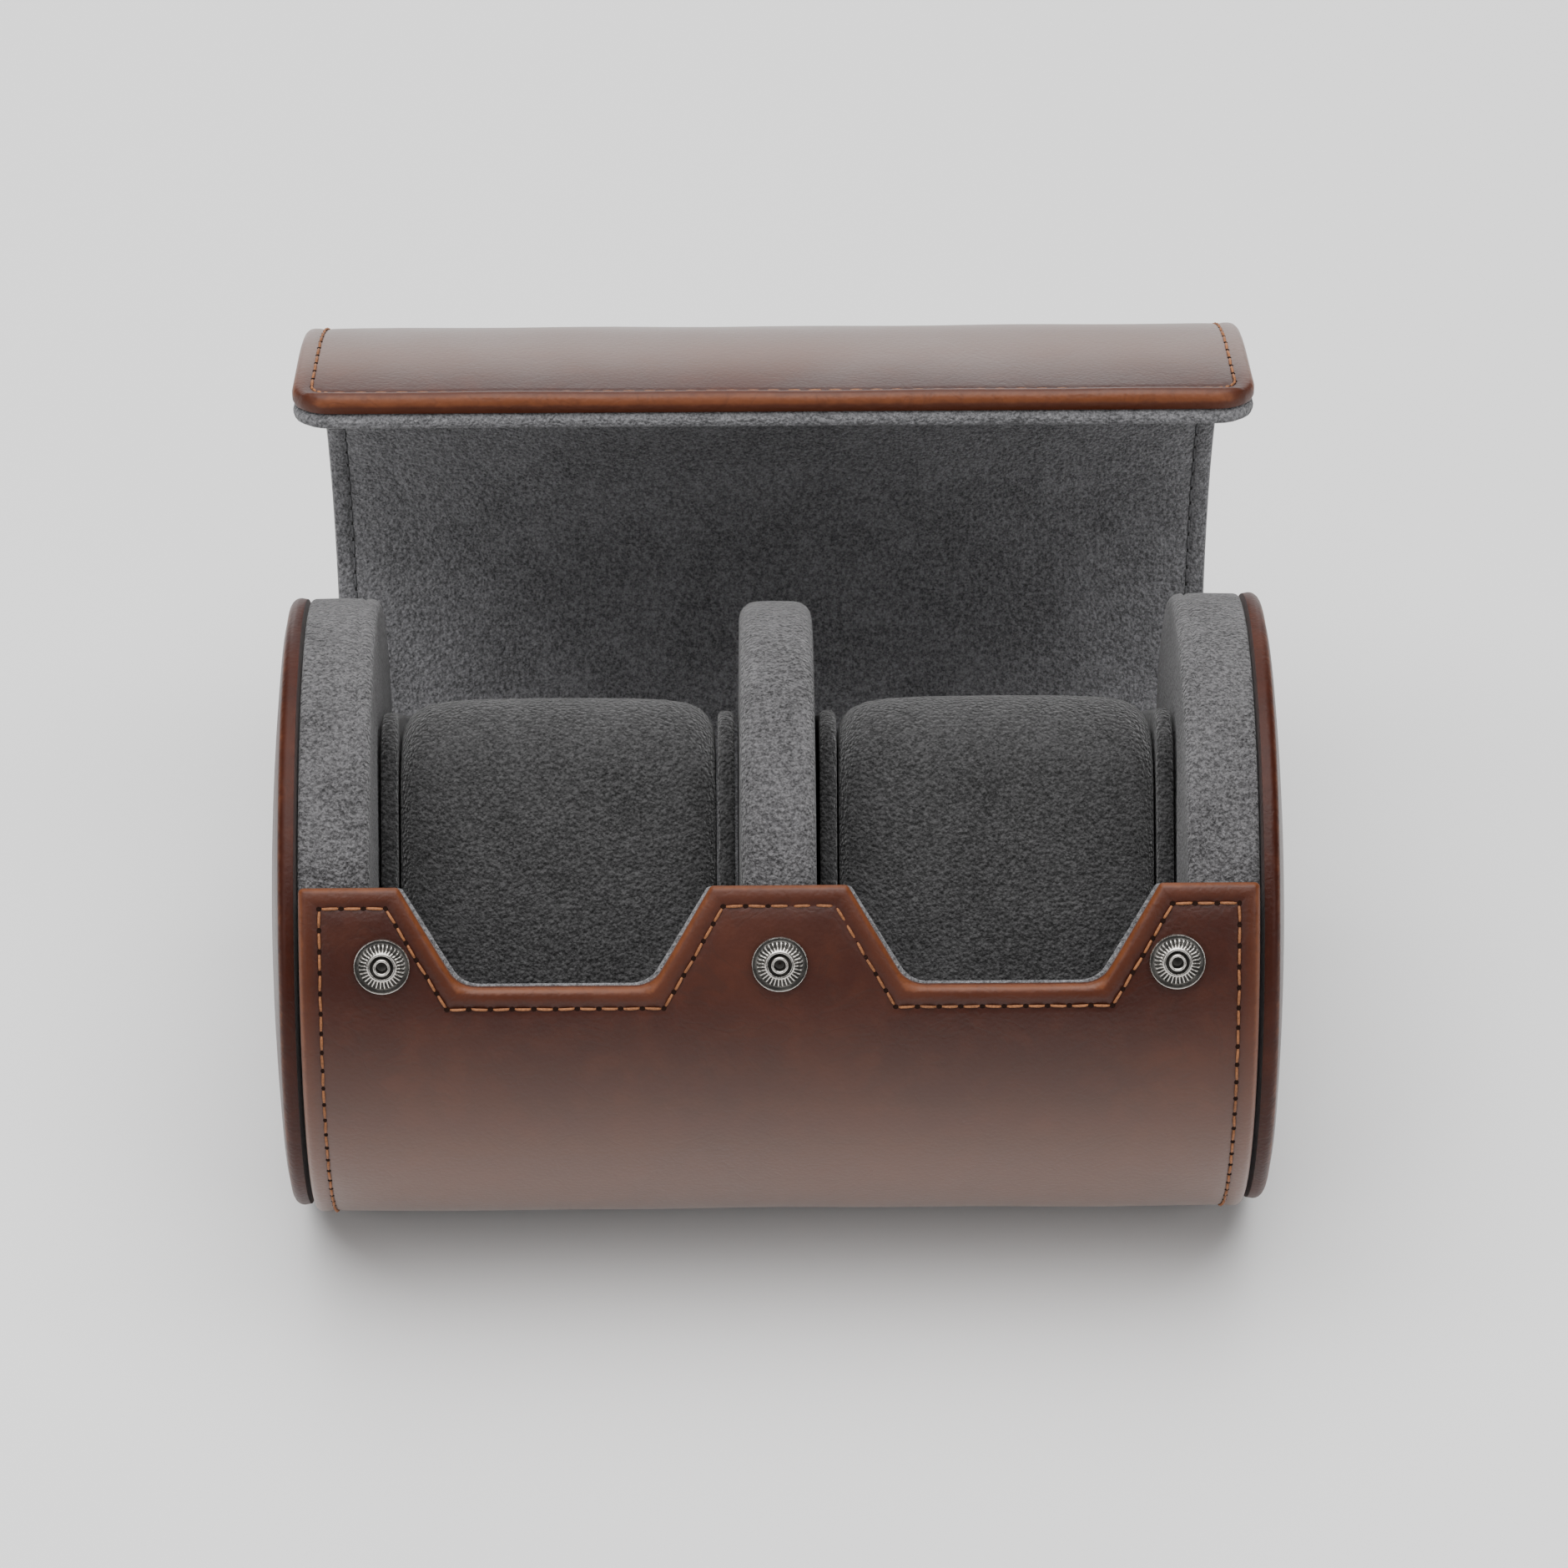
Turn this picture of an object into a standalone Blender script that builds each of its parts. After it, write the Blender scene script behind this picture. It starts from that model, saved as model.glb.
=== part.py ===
"""A two-watch travel roll, open.

One leather wrap forms the front panel, bottom and lid. It is stiffened with board and lined with
suede. Round suede pads close its ends and part its middle, domed leather caps cover the ends, and
a cushion sits in each bay. Three snap studs on the front tabs meet three sockets inside the lid.

The roll lies along X, its front faces -Y, and its origin is under the middle of its flat spot.
"""
import math

import bmesh
import bpy
from mathutils import Matrix, Vector
from mathutils.geometry import intersect_line_line_2d

# Roll: the wrap's outer radius, half its length, and half the flat spot that it lies on
ROLL_RADIUS = 0.054
WRAP_HALF = 0.078
FLAT_HALF = 0.014

# Mouth: how far it looks up from the horizontal, and where the wrap starts and hinges from there
MOUTH_TILT = math.radians(38.4)
TAB_TOP_ANGLE = math.radians(1.4)
HINGE_ANGLE = math.radians(-163.0)

# Wall layers, from the outside in
CLEARANCE = 0.0003
LEATHER = 0.0014
BOARD = 0.0013
LINING = 0.0009
HEM_WIDTH = 0.0034
LINING_MARGIN = 0.0007

# Front tabs: their widths at the top, the notches between them, and corner rounding
SIDE_TAB_WIDTH = 0.0162
MIDDLE_TAB_HALF = 0.0111
NOTCH_DEPTH = 0.0164
NOTCH_SLANT = 0.0097
NOTCH_ROUNDING = 0.0035
TAB_ROUNDING = 0.0009

# Lid: its stand-off from the tabs, its straight lip, its margin past the sockets, flare and corners
SNAP_STANDOFF = 0.0020
LIP_STRAIGHT = 0.0210
LIP_MARGIN = 0.0014
LID_FLARE = 0.0041
LID_FLARE_START = math.radians(60.0)
LID_CORNER = 0.0066
LID_FLAT_SAG = 0.0001

# Snaps: studs below the tab tops and from the wrap's side edges, and their turned sizes
SNAP_DROP = 0.0128
SNAP_INSET = 0.0135
STUD_RADIUS = 0.00455
STUD_GROOVE_RADIUS = 0.0041
STUD_FLUTE_RADIUS = 0.0038
STUD_COLLAR_RADIUS = 0.0021
STUD_POST_RADIUS = 0.0013
STUD_BORE_RADIUS = 0.0006
STUD_RIM_HEIGHT = 0.0007
STUD_DISH_HEIGHT = 0.0004
STUD_COLLAR_HEIGHT = 0.0011
STUD_POST_HEIGHT = 0.0014
STUD_FLUTE_DEPTH = 0.00016
STUD_FLUTES = 16
STUD_LEAD = 0.0003
STUD_COLLAR_WALL = 0.0004
STEM_RADIUS = 0.0013
WASHER_RADIUS = 0.0044
WASHER_THICKNESS = 0.0008
WASHER_GAP = 0.00045
SOCKET_RADIUS = 0.0049
SOCKET_THICKNESS = 0.0018
SOCKET_MOUTH_RADIUS = 0.0031
SOCKET_MOUTH_DEPTH = 0.0012
SOCKET_CHAMFER = 0.0004
SOCKET_GAP = 0.00065
PUNCH_PAST = 0.0008

# End pads and divider
PAD_THICKNESS = 0.0117
PAD_EDGE = 0.0017
DIVIDER_THICKNESS = 0.0123
DIVIDER_SHORTFALL = 0.0009

# End caps: the disc's edge sits a little low and forward of the roll's middle
CAP_RADIUS = 0.0513
CAP_DROP = 0.0016
CAP_EDGE = 0.0030
CAP_DOME = 0.0031
CAP_EDGE_ROUNDING = 0.0013
CAP_FLOOR_GAP = 0.0008

# Cushions: a pillow between two round-bottomed side plates
PLATE_THICKNESS = 0.0028
PLATE_EDGE = 0.0008
PLATE_FRONT = 0.0270
PLATE_TOP = 0.0300
PLATE_CORNER = 0.0090
BAY_CLEARANCE = 0.0009
PILLOW_FRONT = 0.0290
PILLOW_BACK = 0.0170
PILLOW_TOP = 0.0323
PILLOW_BOTTOM = 0.0310
PILLOW_CORNER = 0.0130
PILLOW_END_EDGE = 0.0045

# Fineness of the round shapes
WRAP_STEP = math.radians(6.0)
DISC_SEGMENTS = 44
LEAST_FACET = 0.0012
SNAP_SEGMENTS = 2 * STUD_FLUTES
HOLE_SEGMENTS = 20
WASHER_SEGMENTS = 24
SOCKET_SEGMENTS = 28
CORNER_STEPS = 4
DOME_STEPS = 4
PILLOW_CORNER_STEPS = 5
PLATE_STEPS = 20

# Sizes that follow from the ones above
HEM = LEATHER + CLEARANCE + BOARD
WALL = HEM + CLEARANCE + LINING
ROLL_HEIGHT = math.sqrt(ROLL_RADIUS**2 - FLAT_HALF**2)
PAD_RADIUS = ROLL_RADIUS - WALL - CLEARANCE
NOTCH_TOP_INNER = MIDDLE_TAB_HALF
NOTCH_TOP_OUTER = WRAP_HALF - SIDE_TAB_WIDTH
NOTCH_FLOOR_INNER = NOTCH_TOP_INNER + NOTCH_SLANT
NOTCH_FLOOR_OUTER = NOTCH_TOP_OUTER - NOTCH_SLANT
LID_RADIUS = ROLL_RADIUS + (WALL + SNAP_STANDOFF) / 2.0
SNAP_SPACING = WRAP_HALF - SNAP_INSET
LID_REACH = SNAP_DROP + SOCKET_RADIUS + CLEARANCE + HEM_WIDTH + LIP_MARGIN
PAD_OUTER = WRAP_HALF + CLEARANCE
PAD_INNER = PAD_OUTER - PAD_THICKNESS
CAP_BACK = PAD_OUTER + CLEARANCE

ACROSS = Vector((1.0, 0.0, 0.0))

MATERIALS = {
    "leather": ((0.165, 0.055, 0.024), 0.38, 0.0),
    "cap_leather": ((0.120, 0.038, 0.018), 0.42, 0.0),
    "suede": ((0.105, 0.108, 0.120), 0.95, 0.0),
    "pad_suede": ((0.235, 0.235, 0.255), 0.95, 0.0),
    "cushion_suede": ((0.070, 0.072, 0.078), 0.95, 0.0),
    "board": ((0.420, 0.330, 0.240), 0.90, 0.0),
    "nickel": ((0.560, 0.540, 0.510), 0.30, 1.0),
}


class Section:
    """A stretch of the wrap's cross-section, walked by distance from its first edge.

    It is round up to the distance straight_from, and goes straight on from there.
    """

    def __init__(self, centre, radius, first_angle, straight_from=math.inf):
        self.centre = centre
        self.radius = radius
        self.first_angle = first_angle
        self.straight_from = straight_from

    def direction(self, distance):
        angle = self.first_angle - min(distance, self.straight_from) / self.radius
        return Vector((0.0, -math.cos(angle), math.sin(angle)))

    def place(self, x, distance, depth):
        """Point at this distance along the wrap and this depth under its outer face."""
        outward = self.direction(distance)
        back = outward.cross(ACROSS)
        past = max(distance - self.straight_from, 0.0)
        point = self.centre + outward * (self.radius - depth) - back * past
        return Vector((x, point.y, max(point.z, depth)))

    def frame(self, x, distance):
        """Matrix of a piece set into the wall: its local Z points outward, its local X along X."""
        outward = self.direction(distance)
        matrix = Matrix((ACROSS, outward.cross(ACROSS), outward)).transposed().to_4x4()
        matrix.translation = self.place(x, distance, 0.0)
        return matrix


def clear_scene():
    for obj in list(bpy.data.objects):
        bpy.data.objects.remove(obj, do_unlink=True)


def make_material(name):
    colour, roughness, metallic = MATERIALS[name]
    material = bpy.data.materials.new(name)
    material.use_nodes = True
    shader = material.node_tree.nodes["Principled BSDF"]
    shader.inputs["Base Color"].default_value = (*colour, 1.0)
    shader.inputs["Roughness"].default_value = roughness
    shader.inputs["Metallic"].default_value = metallic
    material.diffuse_color = (*colour, 1.0)
    return material


def make_object(name, shape, material, parent, origin=None):
    """Turn a bmesh in world coordinates into a named object whose origin lies at the given point."""
    origin = origin or parent.location
    bmesh.ops.recalc_face_normals(shape, faces=shape.faces)
    bmesh.ops.translate(shape, vec=-origin, verts=shape.verts)
    mesh = bpy.data.meshes.new(name)
    shape.to_mesh(mesh)
    shape.free()
    mesh.shade_smooth()
    mesh.set_sharp_from_angle(angle=math.radians(35.0))
    mesh.materials.append(bpy.data.materials.get(material) or make_material(material))
    obj = bpy.data.objects.new(name, mesh)
    bpy.context.collection.objects.link(obj)
    obj.parent = parent
    obj.location = origin - parent.location
    return obj


def make_joint_frame(name, location, parent=None):
    """An empty that carries a group of pieces; the lid's lies on its hinge line."""
    empty = bpy.data.objects.new(name, None)
    bpy.context.collection.objects.link(empty)
    empty.location = location if parent is None else location - parent.location
    empty.parent = parent
    return empty


def inset_outline(points, margin):
    """Move every side of a counter-clockwise outline inward by the margin, keeping its corners."""
    sides = []
    for here, there in zip(points, points[1:] + points[:1]):
        along = (there - here).normalized()
        inward = Vector((-along.y, along.x)) * margin
        sides.append((here + inward, there + inward))
    corners = []
    for before, after in zip(sides[-1:] + sides[:-1], sides):
        turn = (before[1] - before[0]).angle_signed(after[1] - after[0])
        if abs(turn) < 0.001:
            corners.append(after[0])
        else:
            reach = 0.2 * (before[1] - before[0]).normalized()
            back = 0.2 * (after[1] - after[0]).normalized()
            meeting = intersect_line_line_2d(
                before[0] - reach, before[1] + reach, after[0] - back, after[1] + back
            )
            corners.append(meeting)
    return corners


def round_outline(points, radii, steps=CORNER_STEPS):
    """Replace each corner that has a radius with an arc."""
    rounded = []
    for index, corner in enumerate(points):
        radius = radii[index]
        to_last = (points[index - 1] - corner).normalized()
        to_next = (points[(index + 1) % len(points)] - corner).normalized()
        half = to_last.angle(to_next) / 2.0
        if radius <= 0.0 or half > math.radians(89.0):
            rounded.append(corner)
            continue
        centre = corner + (to_last + to_next).normalized() * radius / math.sin(half)
        first = corner + to_last * radius / math.tan(half) - centre
        last = corner + to_next * radius / math.tan(half) - centre
        for step in range(steps + 1):
            rounded.append(centre + first.slerp(last, step / steps) * radius)
    return rounded


def body_outline(section_length, margin=0.0):
    """The body's share of the wrap, laid flat: x across, distance from the tab tops upward."""
    half = WRAP_HALF
    floor = NOTCH_DEPTH
    points = [Vector((half, section_length)), Vector((-half, section_length)), Vector((-half, 0.0))]
    radii = [0.0, 0.0, TAB_ROUNDING]
    for side in (-1, 1):
        notch = [
            (NOTCH_TOP_OUTER, 0.0, TAB_ROUNDING),
            (NOTCH_FLOOR_OUTER, floor, NOTCH_ROUNDING),
            (NOTCH_FLOOR_INNER, floor, NOTCH_ROUNDING),
            (NOTCH_TOP_INNER, 0.0, TAB_ROUNDING),
        ]
        for x, distance, radius in notch if side < 0 else notch[::-1]:
            points.append(Vector((side * x, distance)))
            radii.append(radius)
    points.append(Vector((half, 0.0)))
    radii.append(TAB_ROUNDING)
    return round_outline(inset_outline(points, margin), radii)


def lid_half_width(distance):
    """Half the lid's width: even near the hinge, then flaring toward the lip."""
    full_turn = lid_length() / LID_RADIUS
    share = (distance / LID_RADIUS - LID_FLARE_START) / (full_turn - LID_FLARE_START)
    return WRAP_HALF + LID_FLARE * max(share, 0.0)


def lid_outline(margin=0.0):
    """The lid laid flat: x across, distance from the hinge line upward."""
    length = lid_length()
    start = LID_FLARE_START * LID_RADIUS
    points = [
        Vector((-WRAP_HALF, CLEARANCE)),
        Vector((WRAP_HALF, CLEARANCE)),
        Vector((WRAP_HALF, start)),
        Vector((lid_half_width(length), length)),
        Vector((-lid_half_width(length), length)),
        Vector((-WRAP_HALF, start)),
    ]
    radii = [0.0, 0.0, 0.0, LID_CORNER - margin, LID_CORNER - margin, 0.0]
    return round_outline(inset_outline(points, margin), radii)


def body_section():
    centre = Vector((0.0, 0.0, ROLL_HEIGHT))
    return Section(centre, ROLL_RADIUS, MOUTH_TILT + TAB_TOP_ANGLE)


def body_length():
    return ROLL_RADIUS * (TAB_TOP_ANGLE - HINGE_ANGLE)


def hinge_point():
    return body_section().place(0.0, body_length(), 0.0)


def lid_first_angle():
    """The lid opens until its round back lies on the table, which sets its angle at the hinge."""
    drop = 1.0 - (hinge_point().z + LID_FLAT_SAG) / LID_RADIUS
    return -math.asin(drop)


def lid_opening():
    return lid_first_angle() - (MOUTH_TILT + HINGE_ANGLE)


def lid_section():
    hinge = hinge_point()
    first = lid_first_angle()
    outward = Vector((0.0, -math.cos(first), math.sin(first)))
    centre = hinge - outward * LID_RADIUS
    return Section(centre, LID_RADIUS, first, lid_length() - LIP_STRAIGHT)


def lid_length():
    """Closed, the lid goes round the back and over the top to its reach below the tab tops."""
    turn = math.radians(360.0) - (TAB_TOP_ANGLE - HINGE_ANGLE) + LID_REACH / LID_RADIUS
    return turn * LID_RADIUS


def cut_strips(shape, section, length):
    """Cut a flat sheet across, so that it bends in even facets and folds at the flat spot."""
    step = WRAP_STEP * section.radius
    bent = min(length, section.straight_from)
    cuts = [step * count for count in range(1, int(bent / step) + 1)]
    folds = [section.straight_from] if section.straight_from < length else []
    rise = section.centre.z / section.radius
    if rise < 1.0:
        half_flat = math.acos(rise)
        bottom = section.first_angle + math.radians(90.0)
        folds += [(bottom + side * half_flat) * section.radius for side in (-1, 1)]
    cuts = [cut for cut in cuts if all(abs(cut - fold) > LEAST_FACET for fold in folds)]
    for cut in sorted(cuts + folds):
        geometry = list(shape.verts) + list(shape.edges) + list(shape.faces)
        bmesh.ops.bisect_plane(
            shape, geom=geometry, dist=1e-7, plane_co=(0.0, cut, 0.0), plane_no=(0.0, 1.0, 0.0)
        )


def cut_sheet(outline, section, length, outer_depth, thickness, pocket=None, pocket_depth=0.0):
    """Cut a sheet from its flat outline, recess its inner face if asked, and bend it to the section."""
    shape = bmesh.new()
    verts = [shape.verts.new((point.x, point.y, outer_depth)) for point in outline]
    face = shape.faces.new(verts)
    inner = outer_depth + thickness
    grown = bmesh.ops.extrude_face_region(shape, geom=[face])
    back_verts = [item for item in grown["geom"] if isinstance(item, bmesh.types.BMVert)]
    bmesh.ops.translate(shape, vec=(0.0, 0.0, thickness), verts=back_verts)
    if pocket:
        back_face = next(item for item in grown["geom"] if isinstance(item, bmesh.types.BMFace))
        cut_pocket(shape, back_face, pocket, inner, pocket_depth)
    cut_strips(shape, section, length)
    for vert in shape.verts:
        vert.co = section.place(vert.co.x, vert.co.y, vert.co.z)
    bmesh.ops.dissolve_degenerate(shape, dist=1e-7, edges=shape.edges)
    return shape


def cut_pocket(shape, face, outline, depth, pocket_depth):
    """Sink a recess with this outline into a flat face, leaving a hem all round it."""
    rim = list(face.verts)
    bmesh.ops.delete(shape, geom=[face], context="FACES_ONLY")
    mouth = [shape.verts.new((point.x, point.y, depth)) for point in outline]
    floor = [shape.verts.new((point.x, point.y, depth - pocket_depth)) for point in outline]
    count = len(outline)
    for index in range(count):
        after = (index + 1) % count
        shape.faces.new((mouth[index], mouth[after], floor[after], floor[index]))
    shape.faces.new(floor)
    rim_edges = [shape.edges.get((rim[i], rim[(i + 1) % len(rim)])) for i in range(len(rim))]
    mouth_edges = [shape.edges.get((mouth[i], mouth[(i + 1) % count])) for i in range(count)]
    bmesh.ops.triangle_fill(shape, edges=rim_edges + mouth_edges, use_beauty=True)


def turned_disc(profile, segments, matrix=None, flute=None):
    """Turn a closed profile of (radius, height) pairs about local Z, from the axis back to it."""
    shape = bmesh.new()
    rings = []
    for index, (radius, height) in enumerate(profile):
        if radius <= 0.0:
            rings.append([shape.verts.new((0.0, 0.0, height))])
            continue
        ring = []
        for step in range(segments):
            angle = 2.0 * math.pi * step / segments
            rise = flute(index, step) if flute else 0.0
            across = (radius * math.cos(angle), radius * math.sin(angle))
            ring.append(shape.verts.new((*across, height + rise)))
        rings.append(ring)
    pairs = list(zip(rings, rings[1:]))
    if len(rings[0]) > 1:
        pairs.append((rings[-1], rings[0]))
    for lower, upper in pairs:
        for step in range(segments):
            after = (step + 1) % segments
            corners = [lower[step % len(lower)], lower[after % len(lower)]]
            corners += [upper[after % len(upper)], upper[step % len(upper)]]
            unique = list(dict.fromkeys(corners))
            if len(unique) > 2:
                shape.faces.new(unique)
    if matrix:
        bmesh.ops.transform(shape, matrix=matrix, verts=shape.verts)
    return shape


def facing_sideways(side, x, offset=Vector()):
    """Matrix that stands a turned disc across the roll, its local Z pointing to this side."""
    turn = Matrix.Rotation(math.radians(90.0) * side, 4, "Y")
    place = Matrix.Translation(Vector((x, 0.0, ROLL_HEIGHT)) + offset)
    return place @ turn


def press_flat(shape, height):
    """Press a round piece's underside flat where it sits over the flat spot."""
    for vert in shape.verts:
        vert.co.z = max(vert.co.z, height)


def quarter_round(radius, edge_radius, height, steps=2, falling=True):
    """Profile points round an edge, from the rim's side to its flat face or back."""
    points = []
    for step in range(steps + 1):
        angle = math.radians(90.0) * step / steps
        across = radius - edge_radius * (1.0 - math.cos(angle))
        rise = edge_radius * (1.0 - math.sin(angle))
        points.append((across, height - rise if falling else height + rise))
    return points if falling else points[::-1]


def pad_profile(radius, thickness, edge):
    bottom = quarter_round(radius, edge, 0.0, falling=False)
    top = quarter_round(radius, edge, thickness, falling=True)
    return [(0.0, 0.0)] + bottom + top + [(0.0, thickness)]


def build_body_wrap(parent):
    section = body_section()
    length = body_length() - CLEARANCE
    outline = body_outline(length)
    pocket = body_outline(length, HEM_WIDTH)
    board = body_outline(length, HEM_WIDTH + CLEARANCE)
    lining = body_outline(length, LINING_MARGIN)
    leather = cut_sheet(outline, section, length, 0.0, HEM, pocket, HEM - LEATHER)
    make_object("body_leather", leather, "leather", parent)
    stiffener = cut_sheet(board, section, length, LEATHER + CLEARANCE, BOARD)
    make_object("body_board", stiffener, "board", parent)
    suede = cut_sheet(lining, section, length, HEM + CLEARANCE, LINING)
    make_object("body_lining", suede, "suede", parent)


def build_lid_wrap(parent):
    section = lid_section()
    length = lid_length()
    outline = lid_outline()
    pocket = lid_outline(HEM_WIDTH)
    board = lid_outline(HEM_WIDTH + CLEARANCE)
    lining = lid_outline(LINING_MARGIN)
    leather = cut_sheet(outline, section, length, 0.0, HEM, pocket, HEM - LEATHER)
    make_object("lid_leather", leather, "leather", parent)
    stiffener = cut_sheet(board, section, length, LEATHER + CLEARANCE, BOARD)
    make_object("lid_board", stiffener, "board", parent)
    suede = cut_sheet(lining, section, length, HEM + CLEARANCE, LINING)
    make_object("lid_lining", suede, "suede", parent)


def build_end(side, name, parent):
    """End pad inside the wrap, and the domed cap outside it: a padded board under leather."""
    profile = pad_profile(PAD_RADIUS, PAD_THICKNESS, PAD_EDGE)
    pad = turned_disc(profile, DISC_SEGMENTS, facing_sideways(side, side * PAD_INNER))
    press_flat(pad, WALL + CLEARANCE)
    make_object(name + "_end_pad", pad, "pad_suede", parent)

    drop = -CAP_DROP * Vector((0.0, math.sin(MOUTH_TILT), math.cos(MOUTH_TILT)))
    matrix = facing_sideways(side, side * CAP_BACK, drop)
    make_cap_pieces(name, matrix, parent)


def dome(radius, rim_radius, rim_height, rise):
    """Profile of a shallow dome, from its rim to the axis."""
    points = []
    for step in range(DOME_STEPS + 1):
        across = rim_radius * (1.0 - step / DOME_STEPS)
        height = rim_height + rise * (1.0 - (across / radius) ** 2)
        points.append((across, height))
    return points


def make_cap_pieces(name, matrix, parent):
    board_radius = CAP_RADIUS - LEATHER - CLEARANCE
    crown = CAP_RADIUS - CAP_EDGE_ROUNDING
    outer = quarter_round(CAP_RADIUS, CAP_EDGE_ROUNDING, CAP_EDGE, falling=True)
    outer += dome(CAP_RADIUS, crown, CAP_EDGE, CAP_DOME)[1:]
    skin_height = CAP_EDGE - LEATHER
    inner = dome(CAP_RADIUS, CAP_RADIUS - LEATHER, skin_height, CAP_DOME)[::-1]
    profile = [(CAP_RADIUS, 0.0)] + outer + inner + [(CAP_RADIUS - LEATHER, 0.0)]
    skin = turned_shell(profile, matrix)
    press_flat(skin, CAP_FLOOR_GAP)
    make_object(name + "_cap_leather", skin, "cap_leather", parent)

    board_top = dome(CAP_RADIUS, board_radius, skin_height - CLEARANCE, CAP_DOME)
    board = turned_disc([(0.0, 0.0), (board_radius, 0.0)] + board_top, DISC_SEGMENTS, matrix)
    press_flat(board, CAP_FLOOR_GAP + LEATHER + CLEARANCE)
    make_object(name + "_cap_board", board, "board", parent)


def turned_shell(profile, matrix):
    """Turn a bowl's profile, which runs from its rim over the outside and back under the inside."""
    shape = bmesh.new()
    rings = []
    for radius, height in profile:
        if radius <= 1e-6:
            rings.append([shape.verts.new((0.0, 0.0, height))])
            continue
        angles = [2.0 * math.pi * step / DISC_SEGMENTS for step in range(DISC_SEGMENTS)]
        ring = [shape.verts.new((radius * math.cos(a), radius * math.sin(a), height)) for a in angles]
        rings.append(ring)
    for lower, upper in zip(rings, rings[1:] + rings[:1]):
        if len(lower) == 1 and len(upper) == 1:
            continue
        for step in range(DISC_SEGMENTS):
            after = (step + 1) % DISC_SEGMENTS
            corners = [lower[step % len(lower)], lower[after % len(lower)]]
            corners += [upper[after % len(upper)], upper[step % len(upper)]]
            shape.faces.new(list(dict.fromkeys(corners)))
    bmesh.ops.transform(shape, matrix=matrix, verts=shape.verts)
    return shape


def build_divider(parent):
    radius = PAD_RADIUS - DIVIDER_SHORTFALL
    profile = pad_profile(radius, DIVIDER_THICKNESS, PAD_EDGE)
    pad = turned_disc(profile, DISC_SEGMENTS, facing_sideways(1, -DIVIDER_THICKNESS / 2.0))
    press_flat(pad, WALL + CLEARANCE)
    make_object("divider_pad", pad, "pad_suede", parent)


def toward_mouth(across, up):
    """Point of the cushions' cross-section: across runs away from the mouth, up along its plane."""
    tilt = MOUTH_TILT
    y = across * math.cos(tilt) + up * math.sin(tilt)
    z = -across * math.sin(tilt) + up * math.cos(tilt)
    return y, ROLL_HEIGHT + z


def extrude_section(outline, x_low, x_high, edge, edge_steps):
    """Extrude a cross-section along the roll and round the edges of both ends."""
    shape = bmesh.new()
    verts = [shape.verts.new((x_low, *toward_mouth(point.x, point.y))) for point in outline]
    face = shape.faces.new(verts)
    grown = bmesh.ops.extrude_face_region(shape, geom=[face])
    moved = [item for item in grown["geom"] if isinstance(item, bmesh.types.BMVert)]
    bmesh.ops.translate(shape, vec=(x_high - x_low, 0.0, 0.0), verts=moved)
    ends = [f for f in shape.faces if len(f.verts) > 4]
    rims = list({e for f in ends for e in f.edges})
    bmesh.ops.bevel(shape, geom=rims, offset=edge, segments=edge_steps, affect="EDGES", profile=0.5)
    return shape


def plate_outline():
    """A disc that rests in the roll's round bottom, cut straight at its front and its top."""
    radius = PAD_RADIUS
    bottom_front = -math.acos(-PLATE_FRONT / radius)
    back_top = math.asin(PLATE_TOP / radius)
    span = back_top - bottom_front
    points = []
    for step in range(PLATE_STEPS + 1):
        angle = bottom_front + span * step / PLATE_STEPS
        points.append(Vector((radius * math.cos(angle), radius * math.sin(angle))))
    points.append(Vector((-PLATE_FRONT, PLATE_TOP)))
    radii = [0.0] * (len(points) - 1) + [PLATE_CORNER]
    return round_outline(points, radii)


def pillow_outline():
    points = [
        Vector((-PILLOW_FRONT, -PILLOW_BOTTOM)),
        Vector((PILLOW_BACK, -PILLOW_BOTTOM)),
        Vector((PILLOW_BACK, PILLOW_TOP)),
        Vector((-PILLOW_FRONT, PILLOW_TOP)),
    ]
    return round_outline(points, [PILLOW_CORNER] * len(points), PILLOW_CORNER_STEPS)


def build_cushion(side, name, parent):
    """A pillow held between two stiff plates, standing in its bay between divider and end pad."""
    inner = DIVIDER_THICKNESS / 2.0 + BAY_CLEARANCE
    outer = PAD_INNER - BAY_CLEARANCE
    plates = {"inner": (inner, inner + PLATE_THICKNESS), "outer": (outer - PLATE_THICKNESS, outer)}
    for place, (near, far) in plates.items():
        x_low, x_high = sorted((side * near, side * far))
        plate = extrude_section(plate_outline(), x_low, x_high, PLATE_EDGE, 2)
        press_flat(plate, WALL + CLEARANCE)
        make_object(name + "_cushion_plate_" + place, plate, "cushion_suede", parent)
    near = plates["inner"][1] + CLEARANCE
    far = plates["outer"][0] - CLEARANCE
    x_low, x_high = sorted((side * near, side * far))
    pillow = extrude_section(pillow_outline(), x_low, x_high, PILLOW_END_EDGE, 3)
    make_object(name + "_cushion_pillow", pillow, "cushion_suede", parent)


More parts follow.
